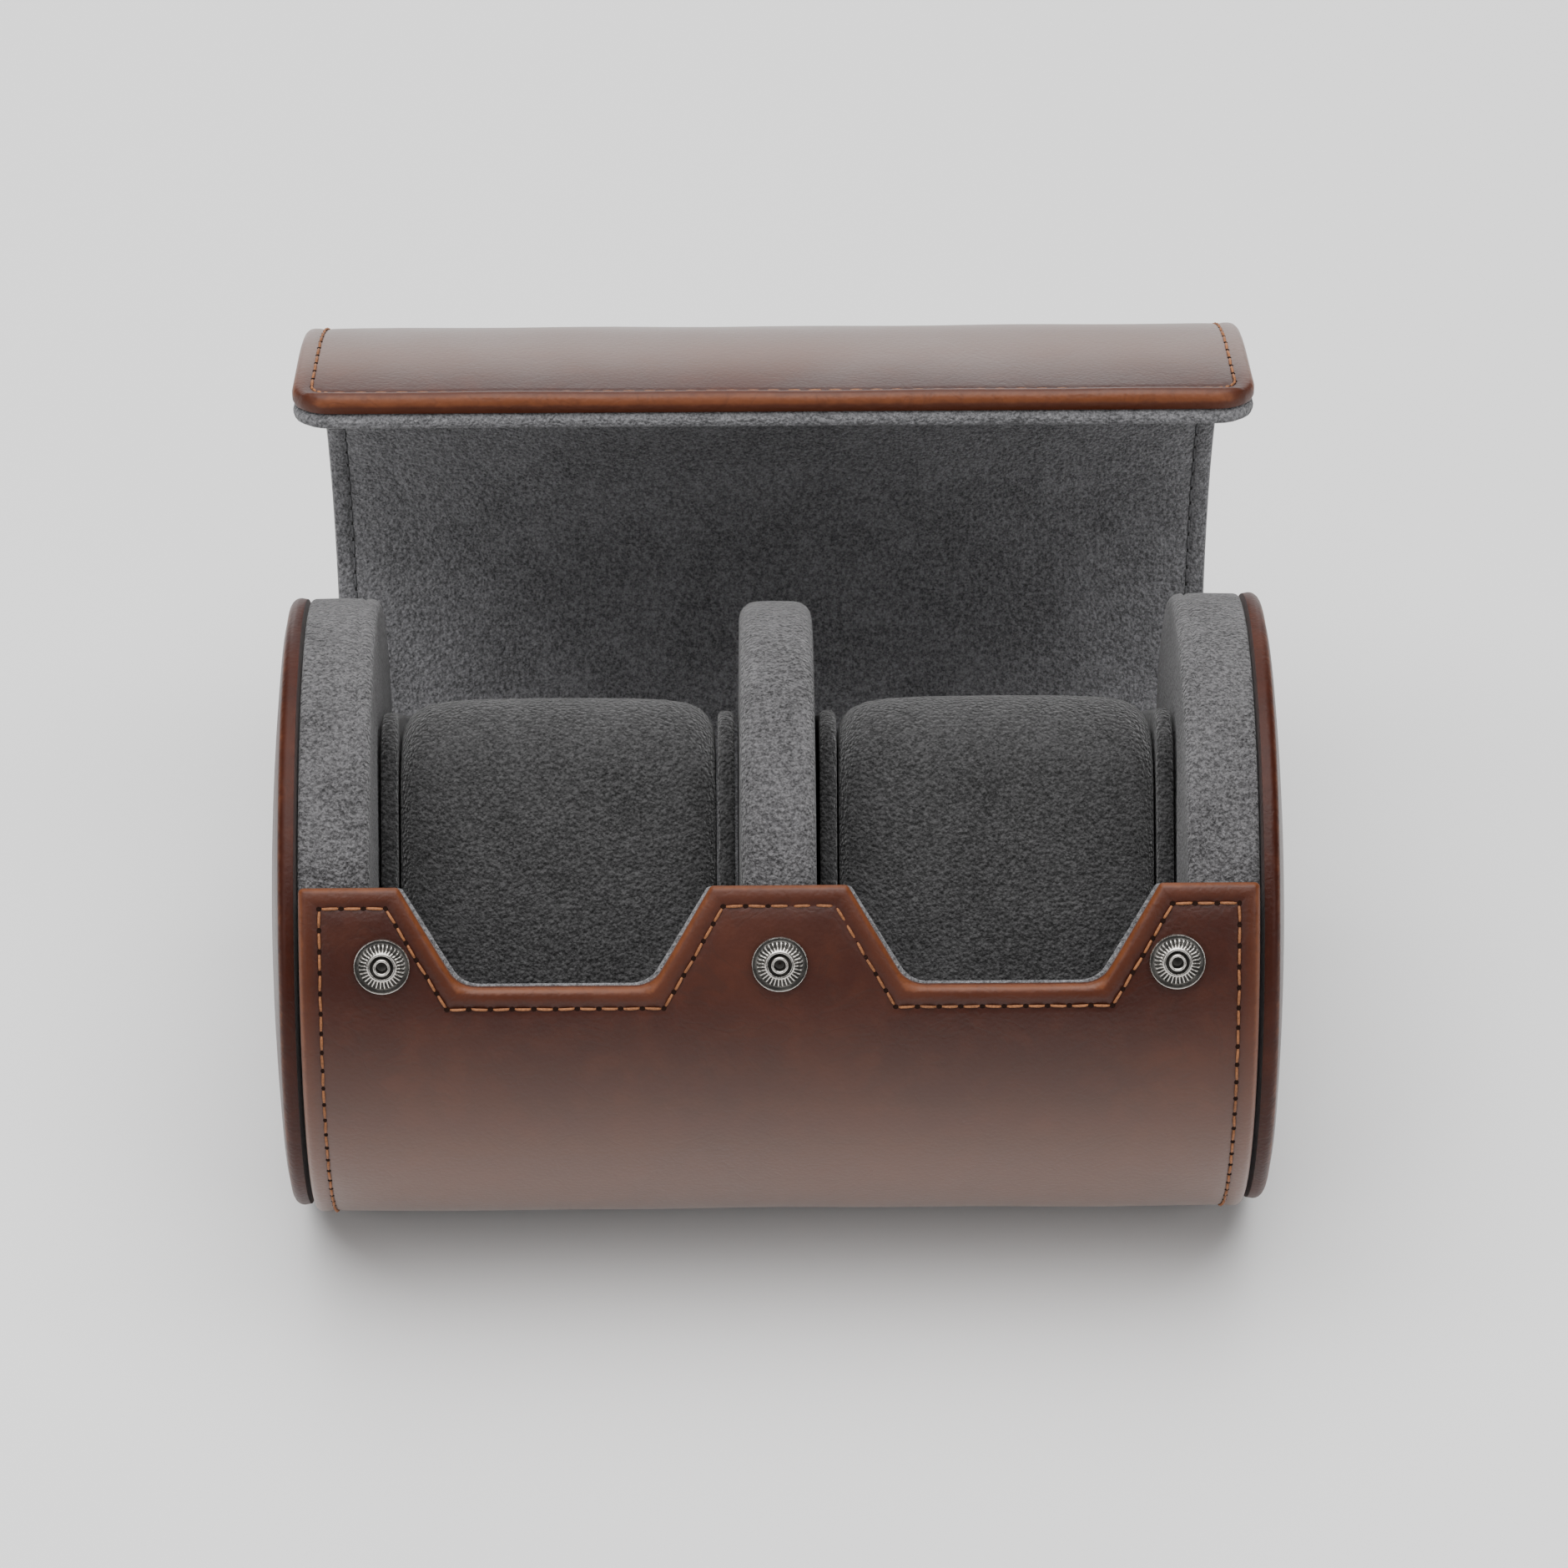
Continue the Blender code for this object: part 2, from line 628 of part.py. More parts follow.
def stud_profile():
    """Half-section of a snap stud, from the end of its stem over the face and down its bore.

    The last value of each point says whether it rises and falls with the flutes.
    """
    stem_end = -(LEATHER + 2 * CLEARANCE + WASHER_THICKNESS)
    dish = STUD_DISH_HEIGHT
    return [
        (STUD_BORE_RADIUS, stem_end, False),
        (STEM_RADIUS, stem_end, False),
        (STEM_RADIUS, 0.0, False),
        (STUD_RADIUS, 0.0, False),
        (STUD_RADIUS, STUD_RIM_HEIGHT, False),
        (STUD_GROOVE_RADIUS, STUD_RIM_HEIGHT, False),
        (STUD_GROOVE_RADIUS, dish, False),
        (STUD_FLUTE_RADIUS, STUD_RIM_HEIGHT, True),
        (STUD_COLLAR_RADIUS + STUD_LEAD, dish + STUD_FLUTE_DEPTH, True),
        (STUD_COLLAR_RADIUS, STUD_COLLAR_HEIGHT, False),
        (STUD_COLLAR_RADIUS - STUD_COLLAR_WALL, STUD_COLLAR_HEIGHT, False),
        (STUD_COLLAR_RADIUS - STUD_COLLAR_WALL - STUD_LEAD, dish, False),
        (STUD_POST_RADIUS, STUD_POST_HEIGHT - STUD_LEAD, False),
        (STUD_POST_RADIUS - STUD_LEAD, STUD_POST_HEIGHT, False),
        (STUD_BORE_RADIUS, STUD_POST_HEIGHT, False),
    ]


def build_stud(name, tab, parent):
    profile = stud_profile()

    def flute(index, step):
        """The face between groove and collar rises and falls with every second segment."""
        return STUD_FLUTE_DEPTH if profile[index][2] and step % 2 else 0.0

    half_section = [(radius, height) for radius, height, _ in profile]
    matrix = tab @ Matrix.Translation((0.0, 0.0, CLEARANCE))
    stud = turned_disc(half_section, SNAP_SEGMENTS, matrix, flute)
    make_object(name, stud, "nickel", parent, tab.translation)


def build_washer(name, tab, parent):
    top = -(LEATHER + WASHER_GAP)
    low = top - WASHER_THICKNESS
    bore = STEM_RADIUS + CLEARANCE
    ring = [(bore, low), (WASHER_RADIUS, low), (WASHER_RADIUS, top), (bore, top)]
    washer = turned_disc(ring, WASHER_SEGMENTS, tab)
    make_object(name, washer, "nickel", parent, tab.translation)


def build_socket(name, seat, parent):
    """A round socket whose mouth opens toward the stud, on the lid's inner side."""
    back = -(LEATHER + SOCKET_GAP)
    front = back - SOCKET_THICKNESS
    mouth = front + SOCKET_MOUTH_DEPTH
    profile = [
        (0.0, mouth),
        (SOCKET_MOUTH_RADIUS, mouth),
        (SOCKET_MOUTH_RADIUS, front),
        (SOCKET_RADIUS - SOCKET_CHAMFER, front),
        (SOCKET_RADIUS, front + SOCKET_CHAMFER),
        (SOCKET_RADIUS, back),
        (0.0, back),
    ]
    socket = turned_disc(profile, SOCKET_SEGMENTS, seat)
    make_object(name, socket, "nickel", parent, seat.translation)


def punch_hole(name, matrix, radius, low, high, target):
    """Cut a round hole in the target with a hidden punch that rides with it."""
    outline = [(0.0, low), (radius, low), (radius, high), (0.0, high)]
    punch = turned_disc(outline, HOLE_SEGMENTS, matrix)
    cutter = make_object(name, punch, "board", target.parent)
    cutter.hide_render = True
    cutter.display_type = "WIRE"
    cut = target.modifiers.new(name, "BOOLEAN")
    cut.operation = "DIFFERENCE"
    cut.solver = "EXACT"
    cut.object = cutter


def build_snap(name, x, body, lid):
    """A stud through the tab with its washer behind, and the socket it meets inside the lid."""
    objects = bpy.data.objects
    tab = body_section().frame(x, SNAP_DROP)
    stem_hole = STEM_RADIUS + CLEARANCE
    low = -LEATHER - PUNCH_PAST
    punch_hole(name + "_stem_punch", tab, stem_hole, low, PUNCH_PAST, objects["body_leather"])
    washer_hole = WASHER_RADIUS + 2 * CLEARANCE
    low = -HEM - PUNCH_PAST
    punch_hole(name + "_washer_punch", tab, washer_hole, low, -LEATHER, objects["body_board"])
    build_stud(name + "_stud", tab, body)
    build_washer(name + "_stud_washer", tab, body)

    distance = lid_length() - LID_REACH + SNAP_DROP * LID_RADIUS / ROLL_RADIUS
    seat = lid_section().frame(x, distance)
    hole = SOCKET_RADIUS + CLEARANCE
    low = -WALL - PUNCH_PAST
    for layer in ("lid_board", "lid_lining"):
        punch_hole(name + "_" + layer + "_punch", seat, hole, low, -LEATHER, objects[layer])
    build_socket(name + "_socket", seat, lid)


def main():
    clear_scene()
    body = make_joint_frame("roll_body", Vector((0.0, 0.0, 0.0)))
    lid = make_joint_frame("lid_hinge", hinge_point(), body)
    bpy.context.view_layer.update()
    build_body_wrap(body)
    build_lid_wrap(lid)
    build_divider(body)
    for side, name in ((-1, "left"), (1, "right")):
        build_end(side, name, body)
        build_cushion(side, name, body)
    for name, x in (("left", -SNAP_SPACING), ("middle", 0.0), ("right", SNAP_SPACING)):
        build_snap(name, x, body, lid)


main()
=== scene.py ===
"""Looks of a two-watch travel roll: leather wrap, suede lining and pads, stitching and snaps.

Run as a script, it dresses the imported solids. Its layout is that of a Blender add-on: sizes and
colours are scene properties, each group of pieces has its own operator, and a panel lists them.
All lengths are in metres. The roll lies along X and opens toward -Y.
"""
import math

import bpy
from mathutils import Matrix, Vector
from mathutils.geometry import intersect_line_line_2d


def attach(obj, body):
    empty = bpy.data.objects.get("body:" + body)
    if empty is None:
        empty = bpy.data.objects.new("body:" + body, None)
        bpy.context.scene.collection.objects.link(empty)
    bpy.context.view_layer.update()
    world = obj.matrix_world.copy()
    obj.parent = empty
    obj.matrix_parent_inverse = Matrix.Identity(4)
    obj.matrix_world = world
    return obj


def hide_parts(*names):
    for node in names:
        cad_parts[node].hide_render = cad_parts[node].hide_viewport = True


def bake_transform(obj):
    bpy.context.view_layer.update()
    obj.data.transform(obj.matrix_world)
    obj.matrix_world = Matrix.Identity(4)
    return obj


bl_info = {
    "name": "Watch Roll",
    "version": (1, 0, 0),
    "blender": (4, 5, 0),
    "location": "3D View > Sidebar > Watch Roll",
    "description": "Models an open two-watch travel roll in leather and suede",
    "category": "Object",
}

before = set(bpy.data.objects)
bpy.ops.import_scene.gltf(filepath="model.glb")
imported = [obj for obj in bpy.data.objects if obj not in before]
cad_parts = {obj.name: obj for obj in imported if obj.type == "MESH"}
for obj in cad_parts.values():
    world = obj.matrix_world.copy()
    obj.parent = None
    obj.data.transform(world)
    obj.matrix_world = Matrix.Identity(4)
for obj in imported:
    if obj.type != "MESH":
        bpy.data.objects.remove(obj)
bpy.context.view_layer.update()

BODY = "roll_body"
LID = "lid"
ACROSS = Vector((1.0, 0.0, 0.0))
TAU = 2.0 * math.pi
SIDES = ((-1.0, "left"), (1.0, "right"))

# Places on the section, as angles from the front upward
MOUTH_TILT = math.radians(38.4)
TAB_TOP_ANGLE = math.radians(1.4)
HINGE_ANGLE = math.radians(-163.0)
LID_FLARE_START = math.radians(60.0)

# Depths under the wrap's outer face: back of the hem, back of the lining, rims of the pads
HEM_DEPTH = 0.0030
LINING_BACK = 0.0031
PAD_DEPTH = 0.0045

# How far the lid's round back would reach below the table, if it weren't pressed flat there
LID_SAG = 0.0001

# Half the length over which the fold at the hinge is rounded, and the step that measures slopes
FOLD_HALF = 0.0080
SLOPE_STEP = 0.0002

# Flat outline: rounding of the tabs, least rounding, and the margin where small roundings end
TAB_ROUNDING = 0.0009
SHARP_CORNER = 0.0003
ROUNDING_END = 0.0026

# How much the lining narrows each cut-out, on both sides, and the shares of the lid's length
# between which it grows thicker
LINING_OVERLAP = 0.0006
LINING_GROWS = (0.1, 0.6)

# Distances between the cuts through a sheet: across the roll, along the wrap, and at the fold.
# Then where the first and last cuts lie, and how far the closer ones go on beside the fold
COLUMN_STEP, ROW_STEP, FOLD_ROW_STEP = 0.0055, 0.0026, 0.0011
FIRST_ROW, LAST_ROW = 0.0009, 0.0010
FOLD_ROWS = 0.0020

# Wrap: least depth of the hem's inner side, greatest depth that is rubbed, and the margins of
# the rubbed edge and of the lighter rim
FACE_DEPTH, WORN_DEPTH = 0.0010, 0.0015
WORN_MIDDLE, WORN_REACH = 0.0002, 0.0011
RIM_START, RIM_END = 0.0008, 0.0034

# Rolled edge of the lip: its width and how far it stands up
LIP_BEAD = 0.0028
LIP_BEAD_RISE = 0.0005

# The seam's shift toward the lip: where it starts and is full, from the lip, and how far it goes
SHIFT_START, SHIFT_FULL = 0.012, 0.006
LIP_SEAM_SHIFT = 0.0006

# Painted sheen, a grey reflection painted into the leather's colour low on the front panel and on
# the lid behind its lip: where it begins, is full, begins to fade and ends, and its greatest
# strength.
# On the front it is measured from the tab tops, and on the lid from the lip
FRONT_PAINTED_SHEEN = (0.016, 0.066, 0.085, 0.120, 0.70)
LID_PAINTED_SHEEN = (0.004, 0.023, 0.036, 0.080, 0.60)

# Seams: depth of the thread in the leather, and the lining seams' start past the hinge, end
# before the lip and share of the lining's thickness
SEAM_DEPTH = 0.00016
LINING_SEAM_START, LINING_SEAM_END = 0.012, 0.008
LINING_SEAM_SHARE = 0.82

# Stitches: visible share of the pitch, radius of a needle hole's painted shade in threads, and how
# far they lean
STITCH_SHARE, HOLE_SHARE = 0.80, 0.95
STITCH_LEAN = 0.05

# Gaps beside the wrap's ends, in the bays beside the cushions, and between plate and pillow
PAD_GAP = 0.0003
CAP_GAP = 0.0006
BAY_GAP = 0.0009
PILLOW_GAP = 0.0003

# Padded discs: rounding of the edge and rise of the crowned face, how much smaller the divider
# is than the pads, and the discs' unevenness as a share of their radius
PAD_EDGE, PAD_CROWN = 0.0018, 0.0006
DIVIDER_EDGE, DIVIDER_CROWN = 0.0030, 0.0004
DIVIDER_INSET = 0.0009
DISC_WOBBLE = 0.0006

# Caps: height of the rim, rounding of its edge, rise of the dome, lowest point above the table,
# and the rubbed edge's reach and strength
CAP_RIM, CAP_EDGE, CAP_DOME = 0.0014, 0.0016, 0.0031
CAP_LOW = 0.0008
CAP_WORN_REACH, CAP_WEAR = 0.0010, 0.7

# Plates: thickness, straight front and top from the roll's middle, and rounding between them
PLATE = 0.0028
PLATE_FRONT, PLATE_TOP, PLATE_ROUNDING = 0.0270, 0.0300, 0.0090

# Pillows: corners of the section (away from the mouth, up along its plane), their rounding, and
# the point that the section shrinks to at both sides
PILLOW_CORNERS = ((-0.0290, -0.0310), (0.0170, -0.0310), (0.0170, 0.0323), (-0.0290, 0.0323))
PILLOW_ROUNDING = 0.0130
PILLOW_MIDDLE = (-0.0060, 0.0006)

# Snaps: how far the studs stand up, depth and radii of their pressed flutes, depth of the
# sockets, and the punch for the lining's holes: radius, length and shift
STUD_RISE = 0.0003
FLUTE_DEPTH, FLUTE_START, FLUTE_END = 0.00036, 0.0025, 0.0037
SOCKET_DEPTH = 0.0014
PUNCH_RADIUS, PUNCH_LENGTH, PUNCH_SHIFT = 0.0053, 0.012, -0.004
HUNDREDTH_MM = 0.00001

# Studio: strength of the surroundings, and place, target, size and watts of each light
SURROUNDINGS = 0.16
LIGHTS = {
    "key": ((-0.10, -0.10, 1.7), (0.0, 0.0, 0.04), 2.0, 67.0),
    "left_fill": ((-1.15, -1.35, 1.0), (0.0, 0.0, 0.04), 0.9, 8.0),
    "right_fill": ((1.15, -1.35, 1.0), (0.0, 0.0, 0.04), 0.9, 8.0),
    "back": ((0.0, 2.3, 0.60), (0.0, 0.08, 0.06), 2.2, 34.0),
}

# Camera: angles of view, offsets from the roll's middle, and lens by its focal length in pixels
CAMERA_ELEVATION, CAMERA_TURN = math.radians(38.4), math.radians(-0.6)
CAMERA_RIGHT, CAMERA_UP, CAMERA_AWAY = 0.0012, 0.0177, 1.250
SENSOR = 36.0
FOCAL_PIXELS, PICTURE_PIXELS = 8847.0, 1879.0


def length(name, default, description):
    return bpy.props.FloatProperty(
        name=name, default=default, description=description, unit="LENGTH", precision=4
    )


def colour(name, default, description):
    return bpy.props.FloatVectorProperty(
        name=name, default=default, description=description, subtype="COLOR", min=0.0, max=1.0
    )


class WATCHROLL_PG_sizes(bpy.types.PropertyGroup):
    roll_radius: length("Roll radius", 0.054, "Outer radius of the rolled wrap")
    wrap_half: length("Half length", 0.078, "Half the wrap's length along the roll")
    flat_half: length("Half flat spot", 0.014, "Half the width of the spot that the roll lies on")
    lid_radius: length("Lid radius", 0.0571, "Outer radius of the lid's curve")
    lid_reach: length("Lid reach", 0.0228, "How far the closed lid's lip passes the tab tops")
    lip_straight: length("Straight lip", 0.0210, "How much of the lid runs straight to its lip")
    lid_flare: length("Lid flare", 0.0041, "How much wider each side of the lid is at its lip")
    lid_corner: length("Lid corner", 0.0066, "Rounding of the lip's two corners")
    tab_width: length("Side tab width", 0.0162, "Width of each outer tab at its top")
    middle_tab_half: length("Half middle tab", 0.0111, "Half the middle tab's width at its top")
    notch_depth: length("Notch depth", 0.0170, "Depth of the two cut-outs between the tabs")
    notch_slant: length("Notch slant", 0.0097, "How far each side of a cut-out leans inward")
    notch_rounding: length("Notch rounding", 0.0050, "Rounding of the cut-outs' lower corners")
    lining_thickness: length("Lining", 0.0012, "Thickness of the suede lining in the body")
    lip_lining: length("Lip lining", 0.0028, "Thickness of the padded lining at the lip")
    stitch_pitch: length("Stitch pitch", 0.0035, "Distance from one stitch to the next")
    stitch_inset: length("Stitch inset", 0.0034, "Distance of the seams from the edges")
    thread: length("Thread", 0.00043, "Thickness of the sewing thread")
    pad_thickness: length("End pad", 0.0117, "Thickness of the suede end pads")
    divider_thickness: length("Divider", 0.0123, "Thickness of the divider")
    cap_radius: length("Cap radius", 0.0513, "Radius of the domed leather end caps")
    cap_drop: length("Cap drop", 0.0016, "How far the caps sit below the roll's middle")
    snap_drop: length("Snap drop", 0.0128, "Distance of the studs below the tab tops")
    snap_inset: length("Snap inset", 0.0135, "Distance of the outer studs from the side edges")


class WATCHROLL_PG_colours(bpy.types.PropertyGroup):
    leather: colour("Leather", (0.029, 0.0044, 0.0011), "Waxed brown leather of the wrap")
    leather_light: colour("Pulled-up leather", (0.062, 0.0135, 0.0042), "Leather where it bends")
    leather_rim: colour("Rim of the leather", (0.115, 0.0290, 0.0085), "Leather beside its edges")
    # Painted sheen: the grey reflection on the curves, painted into the leather's colour
    leather_painted_sheen: colour("Painted sheen", (0.160, 0.088, 0.064), "Grey sheen painted on the curves")
    leather_worn: colour("Worn leather", (0.26, 0.085, 0.028), "Rubbed edges of the leather")
    lining: colour("Lining", (0.128, 0.127, 0.132), "Suede of the lining")
    pad: colour("Pads", (0.076, 0.0742, 0.0765), "Suede of the end pads and divider")
    cushion: colour("Cushions", (0.036, 0.0355, 0.036), "Suede of the two cushions")
    thread: colour("Thread", (0.300, 0.120, 0.048), "Waxed sewing thread")
    lining_thread: colour("Lining thread", (0.11, 0.11, 0.115), "Grey thread of the lining")
    nickel: colour("Nickel", (0.560, 0.535, 0.500), "Plating of the snaps")
    floor: colour("Floor", (0.82, 0.82, 0.82), "Pale studio floor")


def sizes():
    return bpy.context.scene.watch_roll_sizes


def colours():
    return bpy.context.scene.watch_roll_colours


# The wrap's section, walked by distance from the tab tops to the lip


class Stretch:
    """A stretch of the wrap's section: round at first, and straight past a certain distance."""

    def __init__(self, centre, radius, first_angle, straight_from=math.inf):
        self.centre = centre
        self.radius = radius
        self.first_angle = first_angle
        self.straight_from = straight_from

    def place(self, distance, depth):
        angle = self.first_angle - min(distance, self.straight_from) / self.radius
        outward = Vector((0.0, -math.cos(angle), math.sin(angle)))
        past = max(distance - self.straight_from, 0.0)
        point = self.centre + outward * (self.radius - depth) - outward.cross(ACROSS) * past
        point.z = max(point.z, depth, 0.0)
        return point


class Wall:
    """The whole wrap: the body's stretch, a rounded fold at the hinge, and the lid's stretch."""

    def __init__(self):
        s = sizes()
        height = math.sqrt(s.roll_radius**2 - s.flat_half**2)
        self.middle = Vector((0.0, 0.0, height))
        self.body = Stretch(self.middle, s.roll_radius, MOUTH_TILT + TAB_TOP_ANGLE)
        self.body_length = s.roll_radius * (TAB_TOP_ANGLE - HINGE_ANGLE)
        hinge = self.body.place(self.body_length, 0.0)
        first = -math.asin(1.0 - (hinge.z + LID_SAG) / s.lid_radius)
        outward = Vector((0.0, -math.cos(first), math.sin(first)))
        turn = TAU - (TAB_TOP_ANGLE - HINGE_ANGLE)
        self.lid_length = turn * s.lid_radius + s.lid_reach
        centre = hinge - outward * s.lid_radius
        self.lid = Stretch(centre, s.lid_radius, first, self.lid_length - s.lip_straight)
        self.length = self.body_length + self.lid_length

    def on_stretch(self, distance, depth):
        if distance <= self.body_length:
            return self.body.place(distance, depth)
        return self.lid.place(distance - self.body_length, depth)

    def slope(self, distance, depth):
        side = -1.0 if distance <= self.body_length else 1.0
        here = self.on_stretch(distance, depth)
        there = self.on_stretch(distance + side * SLOPE_STEP, depth)
        return (there - here) * side / SLOPE_STEP

    def place(self, x, distance, depth=0.0):
        past = distance - self.body_length
        if abs(past) >= FOLD_HALF:
            point = self.on_stretch(distance, depth)
            return Vector((x, point.y, point.z))
        first, last = self.body_length - FOLD_HALF, self.body_length + FOLD_HALF
        share = (distance - first) / (last - first)
        start, end = self.on_stretch(first, depth), self.on_stretch(last, depth)
        reach = (end - start).length
        leave, arrive = self.slope(first, depth) * reach, self.slope(last, depth) * reach
        square, cube = share**2, share**3
        point = start * (2 * cube - 3 * square + 1) + leave * (cube - 2 * square + share)
        point += end * (3 * square - 2 * cube) + arrive * (cube - square)
        return Vector((x, point.y, point.z))

    def frame(self, x, distance, depth=0.0):
        """Matrix of a piece on the wall: local Z points outward, local Y back to the tab tops."""
        before = self.place(x, distance - SLOPE_STEP, depth)
        after = self.place(x, distance + SLOPE_STEP, depth)
        back = (before - after).normalized()
        outward = ACROSS.cross(back).normalized()
        matrix = Matrix((ACROSS, back, outward)).transposed().to_4x4()
        matrix.translation = self.place(x, distance, depth)
        return matrix

    def half_width(self, distance):
        s = sizes()
        past = (distance - self.body_length) / s.lid_radius
        share = (past - LID_FLARE_START) / (self.lid_length / s.lid_radius - LID_FLARE_START)
        return s.wrap_half + s.lid_flare * max(share, 0.0)

    def flat_corners(self, overlap=0.0):
        """Corners of the flat wrap: x, distance from the tab tops, and rounding (0 is none).

        The overlap narrows the two cut-outs on both sides. Their lower corners are hollow, and
        have their rounding as a minus value.
        """
        s = sizes()
        start = self.body_length + LID_FLARE_START * s.lid_radius
        half, wide = s.wrap_half, self.half_width(self.length)
        tab, outer = TAB_ROUNDING, s.wrap_half - s.tab_width
        floor_outer, floor_inner = outer - s.notch_slant, s.middle_tab_half + s.notch_slant
        notch = [
            (outer - overlap, 0.0, tab),
            (floor_outer - overlap, s.notch_depth, -s.notch_rounding),
            (floor_inner + overlap, s.notch_depth, -s.notch_rounding),
            (s.middle_tab_half + overlap, 0.0, tab),
        ]
        corners = [(half, start, 0.0), (wide, self.length, s.lid_corner)]
        corners += [(-wide, self.length, s.lid_corner), (-half, start, 0.0), (-half, 0.0, tab)]
        corners += [(-x, distance, rounding) for x, distance, rounding in notch]
        corners += [(x, distance, rounding) for x, distance, rounding in notch[::-1]]
        corners.append((half, 0.0, tab))
        return corners


def inset_corners(points, margin):
    """Move every side of a counter-clockwise outline inward by the margin."""
    sides = []
    for here, there in zip(points, points[1:] + points[:1]):
        along = (there - here).normalized()
        inward = Vector((-along.y, along.x)) * margin
        sides.append((here + inward, there + inward))
    moved = []
    for before, after in zip(sides[-1:] + sides[:-1], sides):
        reach = (before[1] - before[0]).normalized()
        back = (after[1] - after[0]).normalized()
        if abs(reach.angle_signed(back)) < 0.001:
            moved.append(after[0])
            continue
        crossing = (before[0] - reach, before[1] + reach, after[0] - back, after[1] + back)
        moved.append(intersect_line_line_2d(*crossing))
    return moved


def corner_arc(corners, index, radius, steps):
    """Points of the arc that rounds one corner of an outline."""
    corner = corners[index]
    to_last = (corners[index - 1] - corner).normalized()
    to_next = (corners[(index + 1) % len(corners)] - corner).normalized()
    half = to_last.angle(to_next) / 2.0
    centre = corner + (to_last + to_next).normalized() * radius / math.sin(half)
    first = (corner + to_last * radius / math.tan(half) - centre).normalized()
    last = (corner + to_next * radius / math.tan(half) - centre).normalized()
    return [centre + first.slerp(last, step / steps) * radius for step in range(steps + 1)]


def round_polygon(corners, radius, steps):
    arcs = [corner_arc(corners, index, radius, steps) for index in range(len(corners))]
    return [point for arc in arcs for point in arc]


def inset_outline(wall, margin, overlap=0.0):
    """Sharp corners of the flat wrap at this margin from its edge, and the rounding of each."""
    corners = wall.flat_corners(overlap)
    points = inset_corners([Vector(corner[:2]) for corner in corners], margin)
    return points, [corner[2] for corner in corners]


def flat_outline(wall, margin, overlap):
    """The wrap's outline at this margin from its edge, with the same point count at any margin."""
    points, roundings = inset_outline(wall, margin, overlap)
    outline = []
    for index, rounding in enumerate(roundings):
        if rounding == 0.0:
            outline.append(points[index])
            continue
        if abs(rounding) < sizes().lid_corner:
            radius = abs(rounding) * max(1.0 - margin / ROUNDING_END, 0.0)
        else:
            radius = rounding - margin
        outline += corner_arc(points, index, max(radius, SHARP_CORNER), 6)
    return outline


# Modelling by hand: a face is added, extruded ring by ring, cut and bent


def select_only(obj):
    bpy.ops.object.select_all(action="DESELECT")
    obj.select_set(True)
    bpy.context.view_layer.objects.active = obj


def added(operator, **settings):
    """Call an operator that adds an object, and return that object."""
    bpy.ops.object.select_all(action="DESELECT")
    operator(**settings)
    return bpy.context.object


def arc(*degrees):
    """Cosine and sine of each angle."""
    turns = [math.radians(angle) for angle in degrees]
    return [(math.cos(turn), math.sin(turn)) for turn in turns]


def circle(count):
    return arc(*(360.0 * step / count for step in range(count)))


def loft(name, rings):
    """Extrude a face from ring to ring, and close both ends with a face."""
    obj = added(bpy.ops.mesh.primitive_circle_add, vertices=len(rings[0]), fill_type="NGON")
    obj.name = obj.data.name = name
    for vert, point in zip(obj.data.vertices, rings[0]):
        vert.co = point
    last = rings[0]
    for ring in rings[1:]:
        bpy.ops.object.mode_set(mode="EDIT")
        bpy.ops.mesh.select_mode(type="FACE")
        bpy.ops.mesh.extrude_region()
        bpy.ops.object.mode_set(mode="OBJECT")
        mesh = obj.data
        face = next(polygon for polygon in mesh.polygons if polygon.select)
        order = list(face.vertices)
        starts = [(mesh.vertices[i].co - Vector(last[0])).length for i in order]
        shift = starts.index(min(starts))
        order = order[shift:] + order[:shift]
        if (mesh.vertices[order[1]].co - Vector(last[1])).length > 1e-6:
            order = order[:1] + order[:0:-1]
        for index, point in zip(order, ring):
            mesh.vertices[index].co = point
        last = ring
    face_outward(obj)
    return obj


def face_outward(obj):
    select_only(obj)
    bpy.ops.object.mode_set(mode="EDIT")
    bpy.ops.mesh.select_all(action="SELECT")
    bpy.ops.mesh.normals_make_consistent(inside=False)
    bpy.ops.object.mode_set(mode="OBJECT")


def cut_across(obj, axis, places):
    """Cut the whole mesh by planes at these places along X or Y."""
    normal = (1.0, 0.0, 0.0) if axis == 0 else (0.0, 1.0, 0.0)
    select_only(obj)
    bpy.ops.object.mode_set(mode="EDIT")
    for place in places:
        bpy.ops.mesh.select_all(action="SELECT")
        point = [place * value for value in normal]
        bpy.ops.mesh.bisect(plane_co=point, plane_no=normal, threshold=1e-6)
    bpy.ops.object.mode_set(mode="OBJECT")


def smooth(obj, degrees=40.0):
    select_only(obj)
    bpy.ops.object.shade_smooth_by_angle(angle=math.radians(degrees))


def finish_piece(obj, look, slot, body, *nodes):
    """Give a piece its material, the body it rides on, and hide the solids it replaces; the slot is
    not used.
    """
    obj.data.materials.clear()
    obj.data.materials.append(material(look))
    if body:
        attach(obj, body)
    if nodes:
        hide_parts(*nodes)


def bend_with_wall(obj, wall):
    """Bake the piece's placement into its mesh; the hinge point is found but not used, so the piece
    does not follow the lid.
    """
    hinge = wall.place(0.0, wall.body_length)
    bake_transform(obj)


# Materials


class Value:
    """A node socket that takes part in plain arithmetic."""

    def __init__(self, finish, socket):
        self.finish = finish
        self.socket = socket

    def _math(self, operation, first, second):
        return self.finish.node("ShaderNodeMath", {"operation": operation}, [first, second])

    def __add__(self, other):
        return self._math("ADD", self, other)

    __radd__ = __add__

    def __mul__(self, other):
        return self._math("MULTIPLY", self, other)

    def __sub__(self, other):
        return self._math("SUBTRACT", self, other)

    def __rsub__(self, other):
        return self._math("SUBTRACT", other, self)


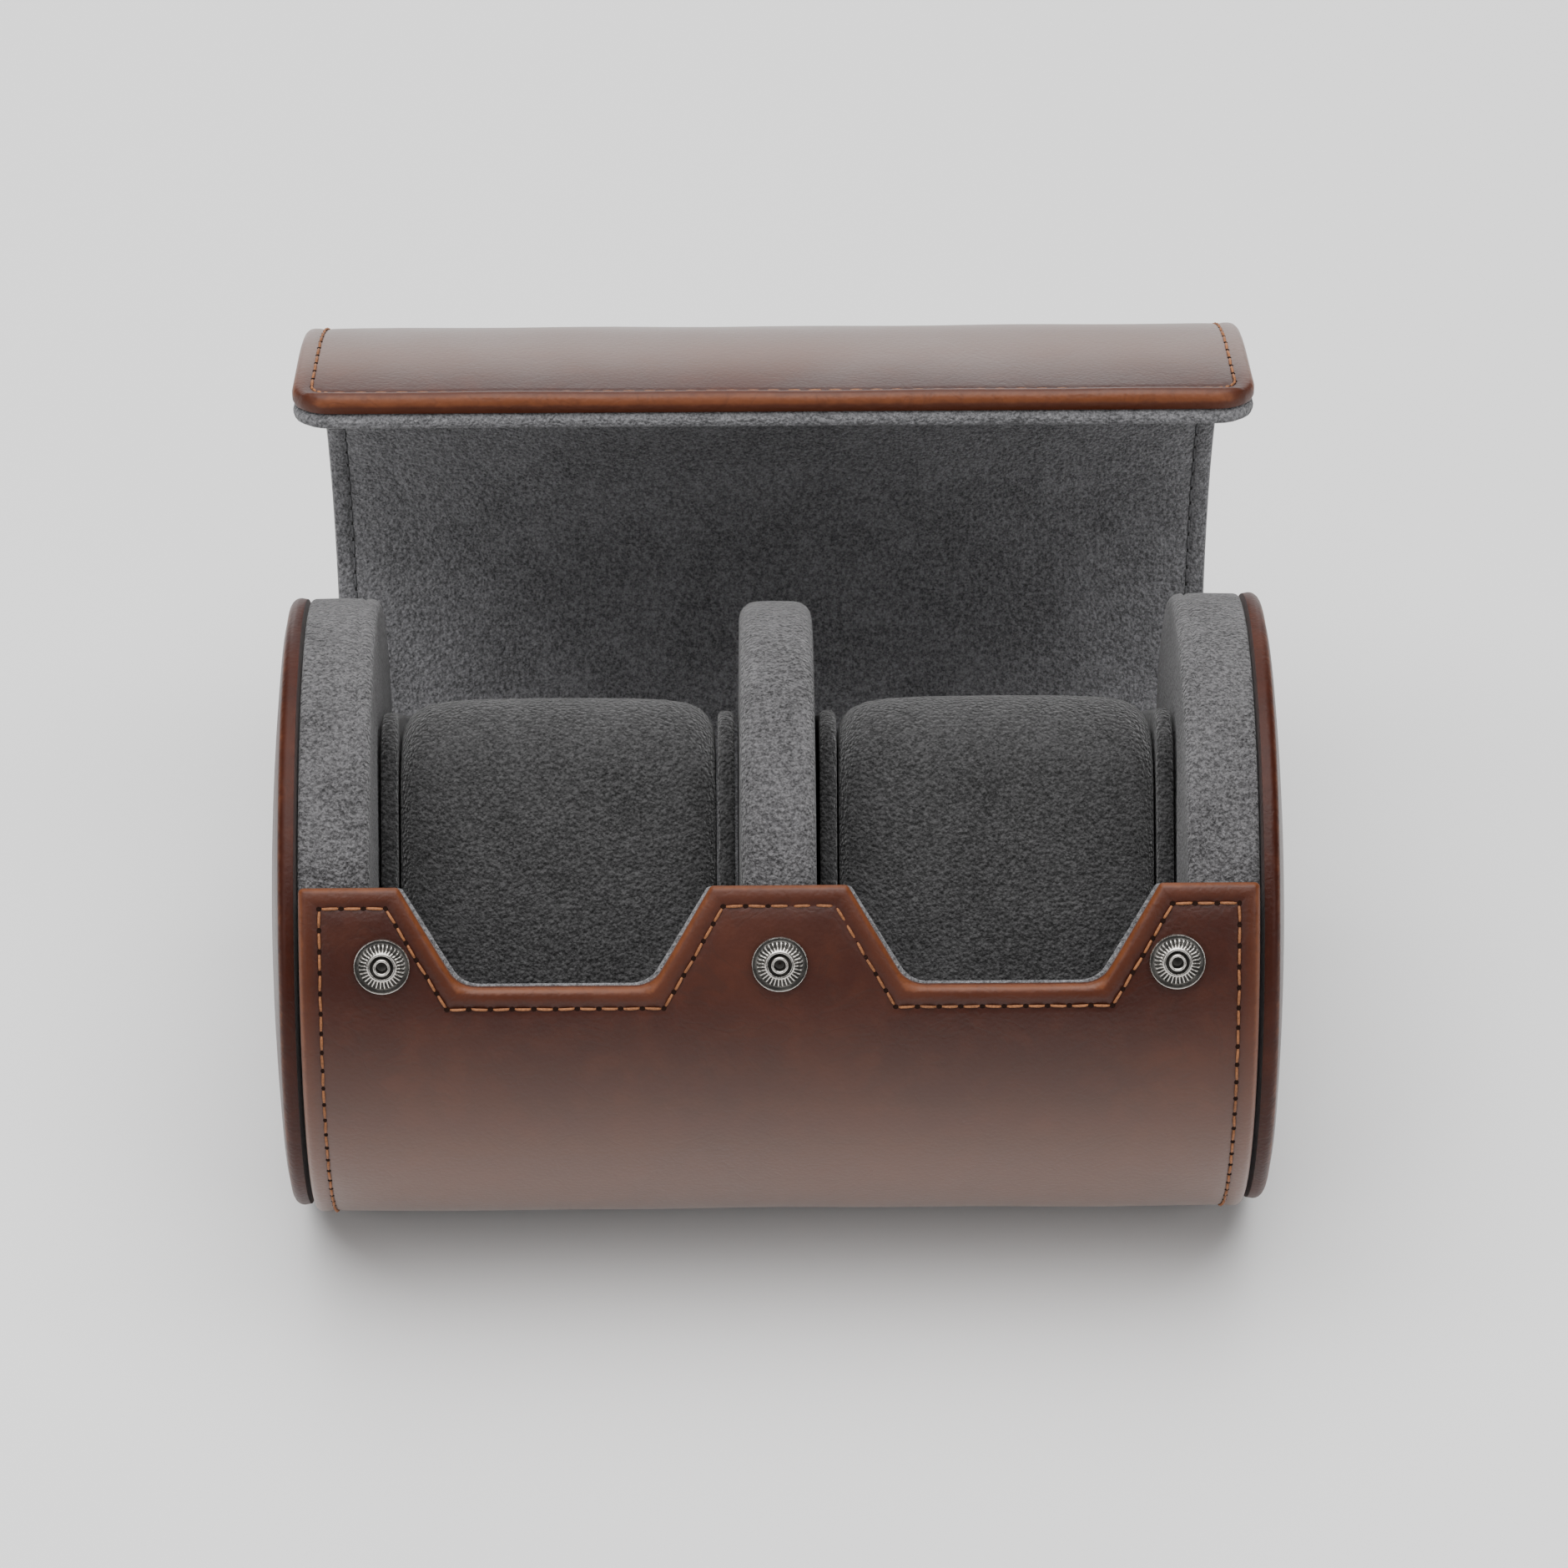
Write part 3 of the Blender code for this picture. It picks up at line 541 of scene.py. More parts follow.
SOCKETS = {
    "base": "Base Color",
    "roughness": "Roughness",
    "metallic": "Metallic",
    "gloss": "Specular IOR Level",
    "sheen": "Sheen Weight",
    "sheen_roughness": "Sheen Roughness",
    "coat": "Coat Weight",
    "coat_roughness": "Coat Roughness",
    "normal": "Normal",
}


class Finish:
    """A node-based material, built one node at a time."""

    def __init__(self, name, **constants):
        self.material = bpy.data.materials.new(name)
        self.material.use_nodes = True
        self.tree = self.material.node_tree
        self.shader = self.tree.nodes["Principled BSDF"]
        self.set(**constants)

    def node(self, kind, settings=None, values=(), output=0):
        node = self.tree.nodes.new(kind)
        for name, value in (settings or {}).items():
            setattr(node, name, value)
        pairs = values.items() if isinstance(values, dict) else enumerate(values)
        for key, value in pairs:
            self.feed(node.inputs[key], value)
        return Value(self, node.outputs[output])

    def feed(self, socket, value):
        if isinstance(value, Value):
            self.tree.links.new(value.socket, socket)
        elif socket.type == "RGBA" and len(value) == 3:
            socket.default_value = (*value, 1.0)
        else:
            socket.default_value = value

    def set(self, **values):
        """Feed the shader's inputs by their short names, and return the material."""
        for name, value in values.items():
            self.feed(self.shader.inputs[SOCKETS[name]], value)
        return self.material

    def on_object(self):
        return self.node("ShaderNodeTexCoord", output="Object")

    def noise(self, place, scale, detail, roughness, distortion=0.0):
        values = {"Vector": place, "Scale": scale, "Detail": detail}
        values.update({"Roughness": roughness, "Distortion": distortion})
        return self.node("ShaderNodeTexNoise", None, values, "Fac")

    def cells(self, place, scale):
        values = {"Vector": place, "Scale": scale}
        return self.node("ShaderNodeTexVoronoi", None, values, "Distance")

    def span(self, value, low, high, first=0.0, last=1.0):
        settings = {"interpolation_type": "SMOOTHSTEP"}
        values = {"Value": value, "From Min": low, "From Max": high}
        values.update({"To Min": first, "To Max": last})
        return self.node("ShaderNodeMapRange", settings, values)

    def mix(self, share, first, second):
        settings = {"data_type": "RGBA"}
        return self.node("ShaderNodeMix", settings, {0: share, 6: first, 7: second}, 2)

    def attribute(self, name):
        return self.node("ShaderNodeAttribute", {"attribute_name": name}, output="Fac")

    def bump(self, height, strength, distance):
        values = {"Height": height, "Strength": strength, "Distance": distance}
        return self.node("ShaderNodeBump", None, values, "Normal")


def leather_finish(name, gloss, coat, sheen):
    """Waxed leather: fine pebbled grain, cloudy pull-up colour, painted grey sheen and lighter
    rubbed edges.
    """
    c = colours()
    finish = Finish(name, gloss=gloss, coat_roughness=0.28, sheen=sheen, sheen_roughness=0.30)
    place = finish.on_object()
    clouds = finish.noise(place, 26.0, 3.0, 0.55)
    mottle = finish.noise(place, 210.0, 3.0, 0.6)
    pulled = finish.span(clouds, 0.42, 0.72) * 0.45 + finish.span(mottle, 0.42, 0.72) * 0.26
    base = finish.mix(pulled, c.leather, c.leather_light)
    grain = finish.cells(place, 1250.0)
    pores = finish.noise(place, 2600.0, 2.0, 0.6)
    creases = finish.noise(place, 95.0, 3.0, 0.65, 0.6)
    off_middle = finish.node("ShaderNodeMath", {"operation": "ABSOLUTE"}, [creases - 0.5])
    crease_lines = 1.0 - finish.span(off_middle, 0.0, 0.035)
    edge = finish.attribute("worn") + finish.noise(place, 420.0, 3.0, 0.6) * 0.7 - 0.35
    base = finish.mix(finish.span(edge, 0.30, 1.0) * 0.46, base, c.leather_worn)
    base = finish.mix(crease_lines * 0.22, base, (0.022, 0.007, 0.004))
    base = finish.mix(finish.attribute("rim") * 0.34, base, c.leather_rim)
    # Painted sheen: a grey reflection painted into the colour low on the front and on the lid, with
    # a clear coat where it lies
    painted_sheen = finish.attribute("painted_sheen")
    base = finish.mix(painted_sheen * (0.65 + clouds * 0.5), base, c.leather_painted_sheen)
    rough = finish.span(clouds + pores * 0.3, 0.35, 0.9, 0.36, 0.54)
    relief = grain * 0.6 + pores * 0.4 - crease_lines * 0.25
    normal = finish.bump(relief, 0.32, 0.0002)
    return finish.set(base=base, coat=painted_sheen * coat, roughness=rough, normal=normal)


def suede_finish(name, tint, contrast):
    """Brushed suede: dense short nap, soft clouds where it was stroked, no gloss."""
    finish = Finish(name, roughness=0.95, gloss=0.10, sheen=0.22, sheen_roughness=0.45)
    place = finish.on_object()
    clouds = finish.noise(place, 75.0, 3.0, 0.6, 0.5)
    flecks = finish.noise(place, 1250.0, 2.0, 0.7)
    nap = finish.noise(place, 2600.0, 2.0, 0.75)
    tufts = finish.cells(place, 1500.0)
    light = finish.span(clouds, 0.35, 0.65) * 0.16 + finish.span(flecks, 0.38, 0.64) * 0.44
    light = light + finish.span(nap, 0.38, 0.62) * 0.40
    dark = tuple(value * (1.0 - 0.55 * contrast) for value in tint)
    pale = tuple(min(value * (1.0 + 0.85 * contrast), 1.0) for value in tint)
    height = flecks * 0.6 + nap * 0.3 - tufts * 0.6
    normal = finish.bump(height, 1.0, 0.0007)
    return finish.set(base=finish.mix(light, dark, pale), normal=normal)


def thread_finish(name, tint):
    """Waxed thread: twisted strands, a little darker where dirt has gathered."""
    finish = Finish(name, roughness=0.62, gloss=0.25)
    place = finish.on_object()
    strands = finish.noise(place, 2400.0, 2.0, 0.6)
    stains = finish.noise(place, 60.0, 3.0, 0.6)
    dark = tuple(value * 0.45 for value in tint)
    share = finish.span(strands * 0.6 + stains * 0.4, 0.3, 0.65)
    normal = finish.bump(strands, 0.5, 0.0002)
    return finish.set(base=finish.mix(share, dark, tint), normal=normal)


def plain_finish(name, scale, share, first, second):
    """Matt and slightly uneven, for the painted shade of needle holes and for the floor."""
    finish = Finish(name, roughness=0.9, gloss=0.1)
    shade = finish.noise(finish.on_object(), scale, 2.0, 0.5)
    return finish.set(base=finish.mix(shade * share, first, second))


def nickel_finish(name, tarnish_and_shade):
    """Plated metal: fine handling marks, cloudy tarnish, and hollows and flutes painted darker, a
    little tarnish but mostly painted shade.
    """
    finish = Finish(name, metallic=1.0)
    place = finish.on_object()
    marks = finish.noise(place, 1400.0, 4.0, 0.65)
    cloud = finish.noise(place, 420.0, 3.0, 0.6)
    tint = colours().nickel
    tarnish_and_shade_tint = tuple(value * 0.10 for value in tint)
    depth = finish.attribute("hollow_shade")
    # Cloudy tarnish, and painted shade that darkens the hollows and flutes
    stain_and_shade = finish.span(cloud, 0.35, 0.75) * 0.22 + depth * tarnish_and_shade
    rough = finish.span(marks + depth * 0.4, 0.3, 0.9, 0.18, 0.50)
    normal = finish.bump(marks, 0.10, 0.0001)
    return finish.set(base=finish.mix(stain_and_shade, tint, tarnish_and_shade_tint), roughness=rough, normal=normal)


def material(name):
    """The named material, made on first use."""
    found = bpy.data.materials.get(name)
    if found:
        return found
    c = colours()
    makers = {
        "waxed_leather": (leather_finish, 0.30, 0.58, 0.14),
        "waxed_cap_leather": (leather_finish, 0.20, 0.0, 0.10),
        "brushed_lining": (suede_finish, c.lining, 1.0),
        "brushed_pad": (suede_finish, c.pad, 1.25),
        "brushed_cushion": (suede_finish, c.cushion, 1.15),
        "waxed_thread": (thread_finish, c.thread),
        "grey_thread": (thread_finish, c.lining_thread),
        # Needle holes: dark discs of painted shade, in the leather and in the grey lining
        "needle_hole": (plain_finish, 900.0, 1.0, (0.006, 0.0025, 0.002), (0.018, 0.007, 0.004)),
        "grey_needle_hole": (plain_finish, 900.0, 1.0, (0.01, 0.01, 0.01), (0.03, 0.03, 0.03)),
        "snap_nickel": (nickel_finish, 0.92),
        "studio_floor": (plain_finish, 3.0, 0.04, c.floor, (0.7, 0.7, 0.7)),
    }
    maker, *values = makers[name]
    return maker(name, *values)


def set_attribute(obj, name, values):
    layer = obj.data.attributes.new(name, "FLOAT", "POINT")
    layer.data.foreach_set("value", values)


# Wrap and lining


def sheet_from_outline(name, wall, profile, depth_at, overlap=0.0):
    """A sheet cut to the wrap's outline, with this edge profile, bent to the wall.

    The profile lists (margin, level) from the back face round the edge to the front, and depth_at
    turns a level into a depth. The flat points (x, distance, level) are returned with the sheet.
    """
    rings = []
    for margin, share in profile:
        rings.append([Vector((p.x, p.y, share)) for p in flat_outline(wall, margin, overlap)])
    obj = loft(name, rings)
    half = sizes().wrap_half + sizes().lid_flare
    columns = range(1, int(2 * half / COLUMN_STEP))
    cut_across(obj, 0, [-half + COLUMN_STEP * column for column in columns])
    rows, place = [], FIRST_ROW
    while place < wall.length - LAST_ROW:
        rows.append(place)
        at_fold = abs(place - wall.body_length) < FOLD_HALF + FOLD_ROWS
        place += FOLD_ROW_STEP if at_fold else ROW_STEP
    cut_across(obj, 1, rows)
    flat = [vert.co.copy() for vert in obj.data.vertices]
    for vert, (x, distance, share) in zip(obj.data.vertices, flat):
        vert.co = wall.place(x, distance, depth_at(x, distance, share))
    face_outward(obj)
    smooth(obj)
    return obj, flat


def edge_distance(wall, x, distance):
    """Distance of a point of the flat wrap from its nearest edge."""
    s = sizes()
    across, outer = abs(x), s.wrap_half - s.tab_width
    nearest = min(wall.half_width(distance) - across, wall.length - distance)
    if distance < s.notch_depth:
        slant = s.notch_slant * distance / s.notch_depth
        slope = math.cos(math.atan2(s.notch_slant, s.notch_depth))
        side = s.middle_tab_half + slant - across
        if across > outer - slant:
            side = across - (outer - slant)
        return max(min(nearest, distance, side * slope), 0.0)
    floor_inner, floor_outer = s.middle_tab_half + s.notch_slant, outer - s.notch_slant
    beside = max(floor_inner - across, across - floor_outer, 0.0)
    return max(min(nearest, math.hypot(beside, distance - s.notch_depth)), 0.0)


def waviness(x, distance):
    """Gentle unevenness of a hand-made sheet: long waves and lower, shorter ones across them."""
    long_wave = 0.00010 * math.sin(x * 61.0 + 1.3) * math.sin(distance * 47.0 + 0.7)
    return long_wave + 0.00006 * math.sin(x * 173.0 + distance * 59.0)


def painted_sheen_at(wall, distance):
    """Share of painted grey sheen, 0 to 1: a painted reflection low on the front panel and behind
    the lip.
    """
    painted_sheens = []
    for place, values in ((distance, FRONT_PAINTED_SHEEN), (wall.length - distance, LID_PAINTED_SHEEN)):
        start, full, fade, end, strength = values
        fading = 1.0 - blend_share(place, fade, end)
        painted_sheens.append(strength * blend_share(place, start, full) * fading)
    return max(painted_sheens)


def blend_share(value, low, high):
    """Smooth rise from 0 at the low value to 1 at the high one."""
    share = min(max((value - low) / (high - low), 0.0), 1.0)
    return share * share * (3.0 - 2.0 * share)


class WATCHROLL_OT_wrap(bpy.types.Operator):
    """One continuous leather wrap with turned-in, beaded edges"""

    bl_idname = "watch_roll.wrap"
    bl_label = "Leather Wrap"

    def execute(self, context):
        wall = Wall()
        profile = [
            (0.0012, HEM_DEPTH), (0.0003, HEM_DEPTH - 0.0002), (0.0, 0.0021), (0.0, 0.0011),
            (0.00022, 0.0004), (0.0007, 0.00002), (0.0013, -0.00010), (0.0021, -0.00008),
            (0.0027, 0.00005), (0.0031, 0.00017), (0.0034, 0.00021), (0.0037, 0.00017),
            (0.0043, 0.00003), (0.0058, 0.0),
        ]

        def depth_at(x, distance, depth):
            if depth > FACE_DEPTH:
                return depth
            from_lip = min((wall.length - distance) / LIP_BEAD, 1.0)
            bead = LIP_BEAD_RISE * math.sin(math.pi * from_lip)
            return depth - waviness(x, distance) - bead

        obj, flat = sheet_from_outline("leather_wrap", wall, profile, depth_at)
        margins = [edge_distance(wall, point.x, point.y) for point in flat]
        worn = []
        for margin, point in zip(margins, flat):
            rounded = max(1.0 - abs(margin - WORN_MIDDLE) / WORN_REACH, 0.0)
            worn.append(rounded if point.z < WORN_DEPTH else 0.0)
        set_attribute(obj, "worn", worn)
        rims = [1.0 - blend_share(margin, RIM_START, RIM_END) for margin in margins]
        set_attribute(obj, "rim", rims)
        set_attribute(obj, "painted_sheen", [painted_sheen_at(wall, point.y) for point in flat])
        nodes = ("body_leather", "lid_leather", "body_board", "lid_board")
        bend_with_wall(obj, wall)
        finish_piece(obj, "waxed_leather", "wrap_leather", None, *nodes)
        return {"FINISHED"}


def lining_depth(wall, distance, share):
    """Depth of a layer of the lining: share 0 is its back, 1 its brushed face."""
    s = sizes()
    past = (distance - wall.body_length) / wall.lid_length
    grow = blend_share(past, *LINING_GROWS)
    thickness = s.lining_thickness + (s.lip_lining - s.lining_thickness) * grow
    return LINING_BACK + thickness * share


class WATCHROLL_OT_lining(bpy.types.Operator):
    """Suede lining, sewn in along the wrap and thicker toward the lip"""

    bl_idname = "watch_roll.lining"
    bl_label = "Suede Lining"

    def execute(self, context):
        wall = Wall()
        profile = [
            (0.0008, 0.0), (0.0003, 0.2), (0.0001, 0.5), (0.0004, 0.82), (0.0012, 0.98),
            (0.0026, 0.97), (0.0031, 0.86), (0.0034, 0.80), (0.0037, 0.86), (0.0044, 0.97),
            (0.0080, 1.0), (0.0092, 1.06), (0.0104, 1.0),
        ]

        def depth_at(x, distance, share):
            return lining_depth(wall, distance, share)

        obj = sheet_from_outline("suede_lining", wall, profile, depth_at, LINING_OVERLAP)[0]
        self.punch_socket_holes(obj, wall)
        bend_with_wall(obj, wall)
        nodes = ("body_lining", "lid_lining")
        finish_piece(obj, "brushed_lining", "lining_suede", None, *nodes)
        return {"FINISHED"}

    def punch_socket_holes(self, obj, wall):
        drill = bpy.ops.mesh.primitive_cylinder_add
        for x, distance in snap_places(wall, lid=True):
            punch = added(drill, vertices=40, radius=PUNCH_RADIUS, depth=PUNCH_LENGTH)
            shift = Matrix.Translation((0.0, 0.0, PUNCH_SHIFT))
            punch.data.transform(wall.frame(x, distance) @ shift)
            cut = obj.modifiers.new("Cut", "BOOLEAN")
            cut.operation, cut.solver, cut.object = "DIFFERENCE", "EXACT", punch
            select_only(obj)
            bpy.ops.object.modifier_apply(modifier=cut.name)
            bpy.data.objects.remove(punch)
        smooth(obj)


def snap_places(wall, lid=False):
    """Where the snaps sit: x and distance along the wrap."""
    s = sizes()
    distance = s.snap_drop
    if lid:
        distance = wall.length - s.lid_reach + s.snap_drop * s.lid_radius / s.roll_radius
    spacing = s.wrap_half - s.snap_inset
    return [(-spacing, distance), (0.0, distance), (spacing, distance)]


# Stitching


def seam_path(wall, margin):
    """Path of the seam round the wrap at this margin: sharp corners, but round ones at the lip."""
    points, roundings = inset_outline(wall, margin)
    path = []
    for index, rounding in enumerate(roundings):
        at_lip = rounding >= sizes().lid_corner
        path += corner_arc(points, index, rounding - margin, 4) if at_lip else [points[index]]
    start, full = wall.length - SHIFT_START, wall.length - SHIFT_FULL
    for point in path:
        point.y += LIP_SEAM_SHIFT * blend_share(point.y, start, full)
    return path


def stitch_spans(path, pitch, closed=True):
    """Spans of single stitches: each side of the path holds a whole number of them."""
    spans = []
    ends = path[1:] + path[:1] if closed else path[1:]
    for start, end in zip(path, ends):
        side = end - start
        count = max(round(side.length / pitch), 1)
        for step in range(count):
            spans.append((start + side * step / count, start + side * (step + 1) / count))
    return spans


def model_stitch(name, thread, reach):
    """One stitch along X: a thread that dives into the leather at both ends."""
    rings = []
    for along, rise, thick in (
        (-0.50, -0.55, 0.50), (-0.44, -0.05, 0.80), (-0.30, 0.30, 1.0), (0.0, 0.40, 1.08),
        (0.30, 0.30, 1.0), (0.44, -0.05, 0.80), (0.50, -0.55, 0.50),
    ):
        size, lift = thread * 0.5 * thick, rise * thread
        rings.append([Vector((along * reach, size * y, size * z + lift)) for y, z in circle(6)])
    obj = loft(name, rings)
    smooth(obj, 60.0)
    return obj


def model_needle_hole_painted_shade(name, radius):
    """A thin dark disc of painted shade for a needle hole, with a shallow dimple, a little longer
    along the seam.
    """
    rings = []
    for size, height in ((1.0, 0.00001), (0.8, 0.00007), (0.3, 0.00003)):
        reach = radius * size
        rings.append([Vector((1.2 * x * reach, y * reach, height)) for x, y in circle(8)])
    return loft(name, rings)


def sew(name, wall, spans, depth_at, inner=False):
    """Set a stitch on every span and a needle hole's painted shade at every joint between two, as
    two objects.
    """
    s = sizes()
    stitch = model_stitch(name, s.thread, s.stitch_pitch * STITCH_SHARE)
    hole_shade = model_needle_hole_painted_shade(name + "_holes", s.thread * HOLE_SHARE)
    stitches, hole_shades = [], []
    for index, (start, end) in enumerate(spans):
        middle = (start + end) / 2.0
        along = end - start
        tilt = math.atan2(-along.y, along.x) + STITCH_LEAN * math.sin(index * 2.3)
        for source, target, at in ((stitch, stitches, middle), (hole_shade, hole_shades, start)):
            matrix = wall.frame(at.x, at.y, depth_at(at.y))
            if inner:
                matrix = matrix @ Matrix.Rotation(math.pi, 4, "X")
            turned = matrix @ Matrix.Rotation(-tilt if inner else tilt, 4, "Z")
            if source is stitch:
                turned = turned @ Matrix.Scale(along.length / s.stitch_pitch, 4, (1.0, 0.0, 0.0))
            copy = source.copy()
            copy.data = source.data.copy()
            copy.data.transform(turned)
            bpy.context.collection.objects.link(copy)
            target.append(copy)
    bpy.data.objects.remove(stitch)
    bpy.data.objects.remove(hole_shade)
    return join(stitches, name), join(hole_shades, name + "_holes")


def join(objects, name):
    """Join the objects into the first of them, under this name."""
    bpy.ops.object.select_all(action="DESELECT")
    for obj in objects:
        obj.select_set(True)
    bpy.context.view_layer.objects.active = objects[0]
    bpy.ops.object.join()
    objects[0].name = name
    return objects[0]


class WATCHROLL_OT_stitching(bpy.types.Operator):
    """Tan seams round the leather, and grey ones down the sides of the lining"""

    bl_idname = "watch_roll.stitching"
    bl_label = "Stitching"

    def execute(self, context):
        s = sizes()
        wall = Wall()
        spans = stitch_spans(seam_path(wall, s.stitch_inset), s.stitch_pitch)
        seam, hole_shades = sew("leather_stitching", wall, spans, lambda distance: SEAM_DEPTH)
        self.finish(wall, seam, "waxed_thread", "wrap_leather")
        self.finish(wall, hole_shades, "needle_hole", "wrap_leather")

        def depth_at(distance):
            return lining_depth(wall, distance, LINING_SEAM_SHARE)

        seams, side_hole_shades = [], []
        for side, name in SIDES:
            path = []
            distance = wall.body_length + LINING_SEAM_START
            while distance < wall.length - LINING_SEAM_END:
                reach = wall.half_width(distance) - s.stitch_inset
                path.append(Vector((side * reach, distance)))
                distance += s.stitch_pitch
            spans = stitch_spans(path, s.stitch_pitch, closed=False)
            seam, hole_shades = sew(name + "_lining_seam", wall, spans, depth_at, inner=True)
            seams.append(seam)
            side_hole_shades.append(hole_shades)
        seam, hole_shades = join(seams, "lining_stitching"), join(side_hole_shades, "lining_stitching_holes")
        self.finish(wall, seam, "grey_thread", "lining_suede")
        self.finish(wall, hole_shades, "grey_needle_hole", "lining_suede")
        return {"FINISHED"}

    def finish(self, wall, obj, look, slot):
        bend_with_wall(obj, wall)
        finish_piece(obj, look, slot, None)


# Pads, divider and caps


def disc_rings(profile, segments, centre, least_height, wobble=0.0):
    """Rings of a disc across the roll, from (radius, x) pairs, pressed flat at the least height."""
    rings = []
    for radius, x in profile:
        ring = []
        for step, (y, z) in enumerate(circle(segments)):
            reach = radius * (1.0 + wobble * math.sin(3.0 * TAU * step / segments + x * 90.0))
            height = max(centre.z + z * reach, least_height)
            ring.append(Vector((x, centre.y + y * reach, height)))
        rings.append(ring)
    return rings


def pad_profile(radius, back, front, edge, crown, seam=False):
    """A padded disc from its back face to its slightly crowned front, with soft rolled edges.

    The seam is a narrow groove round the rim, just behind the front edge.
    """
    side = 1.0 if front > back else -1.0
    profile = [(radius * share, back) for share in (0.04, 0.5, 0.9)]
    small = edge * 0.45
    for cosine, sine in arc(0, 30, 60, 90):
        profile.append((radius - small * (1.0 - sine), back + side * small * (1.0 - cosine)))
    profile.append((radius * 1.002, (back + front) / 2.0))
    if seam:
        for behind, sunk in ((0.0012, 0.0), (0.0008, 0.00035), (0.0006, 0.00035), (0.0003, 0.0)):
            profile.append((radius - sunk, front - side * (edge + behind)))
    for cosine, sine in arc(0, 22, 45, 67, 90):
        profile.append((radius - edge * (1.0 - cosine), front - side * edge * (1.0 - sine)))
    for share in (0.90, 0.78, 0.6, 0.4, 0.2, 0.04):
        bulge = crown * (1.0 - (share / 0.94) ** 2)
        profile.append((radius * share, front + side * max(bulge, 0.0)))
    return profile


class WATCHROLL_OT_pads(bpy.types.Operator):
    """Padded suede discs: one inside each end, and the divider between the two bays"""

    bl_idname = "watch_roll.pads"
    bl_label = "Pads"

    def execute(self, context):
        s = sizes()
        wall = Wall()
        radius = s.roll_radius - PAD_DEPTH
        outer = s.wrap_half + PAD_GAP
        inner = outer - s.pad_thickness
        for side, name in SIDES:
            ends = (side * outer, side * inner)
            profile = pad_profile(radius, *ends, PAD_EDGE, PAD_CROWN, seam=True)
            self.add_disc(wall, name + "_suede_pad", profile, name + "_end_pad")
        profile = self.both_faces(radius - DIVIDER_INSET, s.divider_thickness / 2.0)
        self.add_disc(wall, "suede_divider", profile, "divider_pad")
        return {"FINISHED"}

    def both_faces(self, radius, half):
        """Profile of a disc that is crowned on both faces."""
        front = pad_profile(radius, -half, half, DIVIDER_EDGE, DIVIDER_CROWN)
        rim = [pair for pair in front if pair[1] > 0.0]
        return [(reach, -x) for reach, x in rim[::-1]] + [(radius * 1.002, 0.0)] + rim

    def add_disc(self, wall, name, profile, node):
        obj = loft(name, disc_rings(profile, 128, wall.middle, PAD_DEPTH, DISC_WOBBLE))
        smooth(obj, 50.0)
        finish_piece(obj, "brushed_pad", "pad_suede", BODY, node)


class WATCHROLL_OT_caps(bpy.types.Operator):
    """Domed leather caps over both ends"""

    bl_idname = "watch_roll.caps"
    bl_label = "End Caps"

    def execute(self, context):
        s = sizes()
        wall = Wall()
        drop = Vector((0.0, math.sin(MOUTH_TILT), math.cos(MOUTH_TILT))) * s.cap_drop
        back = s.wrap_half + CAP_GAP
        for side, name in SIDES:
            profile = [(s.cap_radius * share, 0.0) for share in (0.04, 0.6, 0.95)]
            profile.append((s.cap_radius - 0.0002, 0.0003))
            for cosine, sine in arc(0, 15, 30, 50, 70, 90):
                reach = s.cap_radius - CAP_EDGE * (1.0 - cosine)
                profile.append((reach, CAP_RIM + CAP_EDGE * sine))
            for share in (0.93, 0.86, 0.76, 0.64, 0.5, 0.36, 0.22, 0.1, 0.015):
                rise = CAP_RIM + CAP_EDGE + CAP_DOME * (1.0 - share**2)
                profile.append((s.cap_radius * share, rise))
            profile = [(reach, side * (back + rise)) for reach, rise in profile]
            rings = disc_rings(profile, 144, wall.middle - drop, CAP_LOW)
            obj = loft(name + "_leather_cap", rings)
            smooth(obj, 50.0)
            self.mark_wear(obj, wall.middle - drop)
            nodes = (name + "_cap_leather", name + "_cap_board")
            finish_piece(obj, "waxed_cap_leather", "cap_leather", BODY, *nodes)
        return {"FINISHED"}

    def mark_wear(self, obj, centre):
        """Rub the edge: most at half its rounding, and less to both sides of it."""
        rubbed = sizes().cap_radius - CAP_EDGE / 2.0
        worn = []
        for vert in obj.data.vertices:
            reach = math.hypot(vert.co.y - centre.y, vert.co.z - centre.z)
            worn.append(max(1.0 - abs(rubbed - reach) / CAP_WORN_REACH, 0.0) * CAP_WEAR)
        set_attribute(obj, "worn", worn)


# Cushions


def mouth_ring(wall, x, points, least_height):
    """A ring across the roll, from points (away from the mouth, up along its plane)."""
    ring = []
    for point in points:
        y = point.x * math.cos(MOUTH_TILT) + point.y * math.sin(MOUTH_TILT)
        z = -point.x * math.sin(MOUTH_TILT) + point.y * math.cos(MOUTH_TILT)
        ring.append(Vector((x, y, max(wall.middle.z + z, least_height))))
    return ring


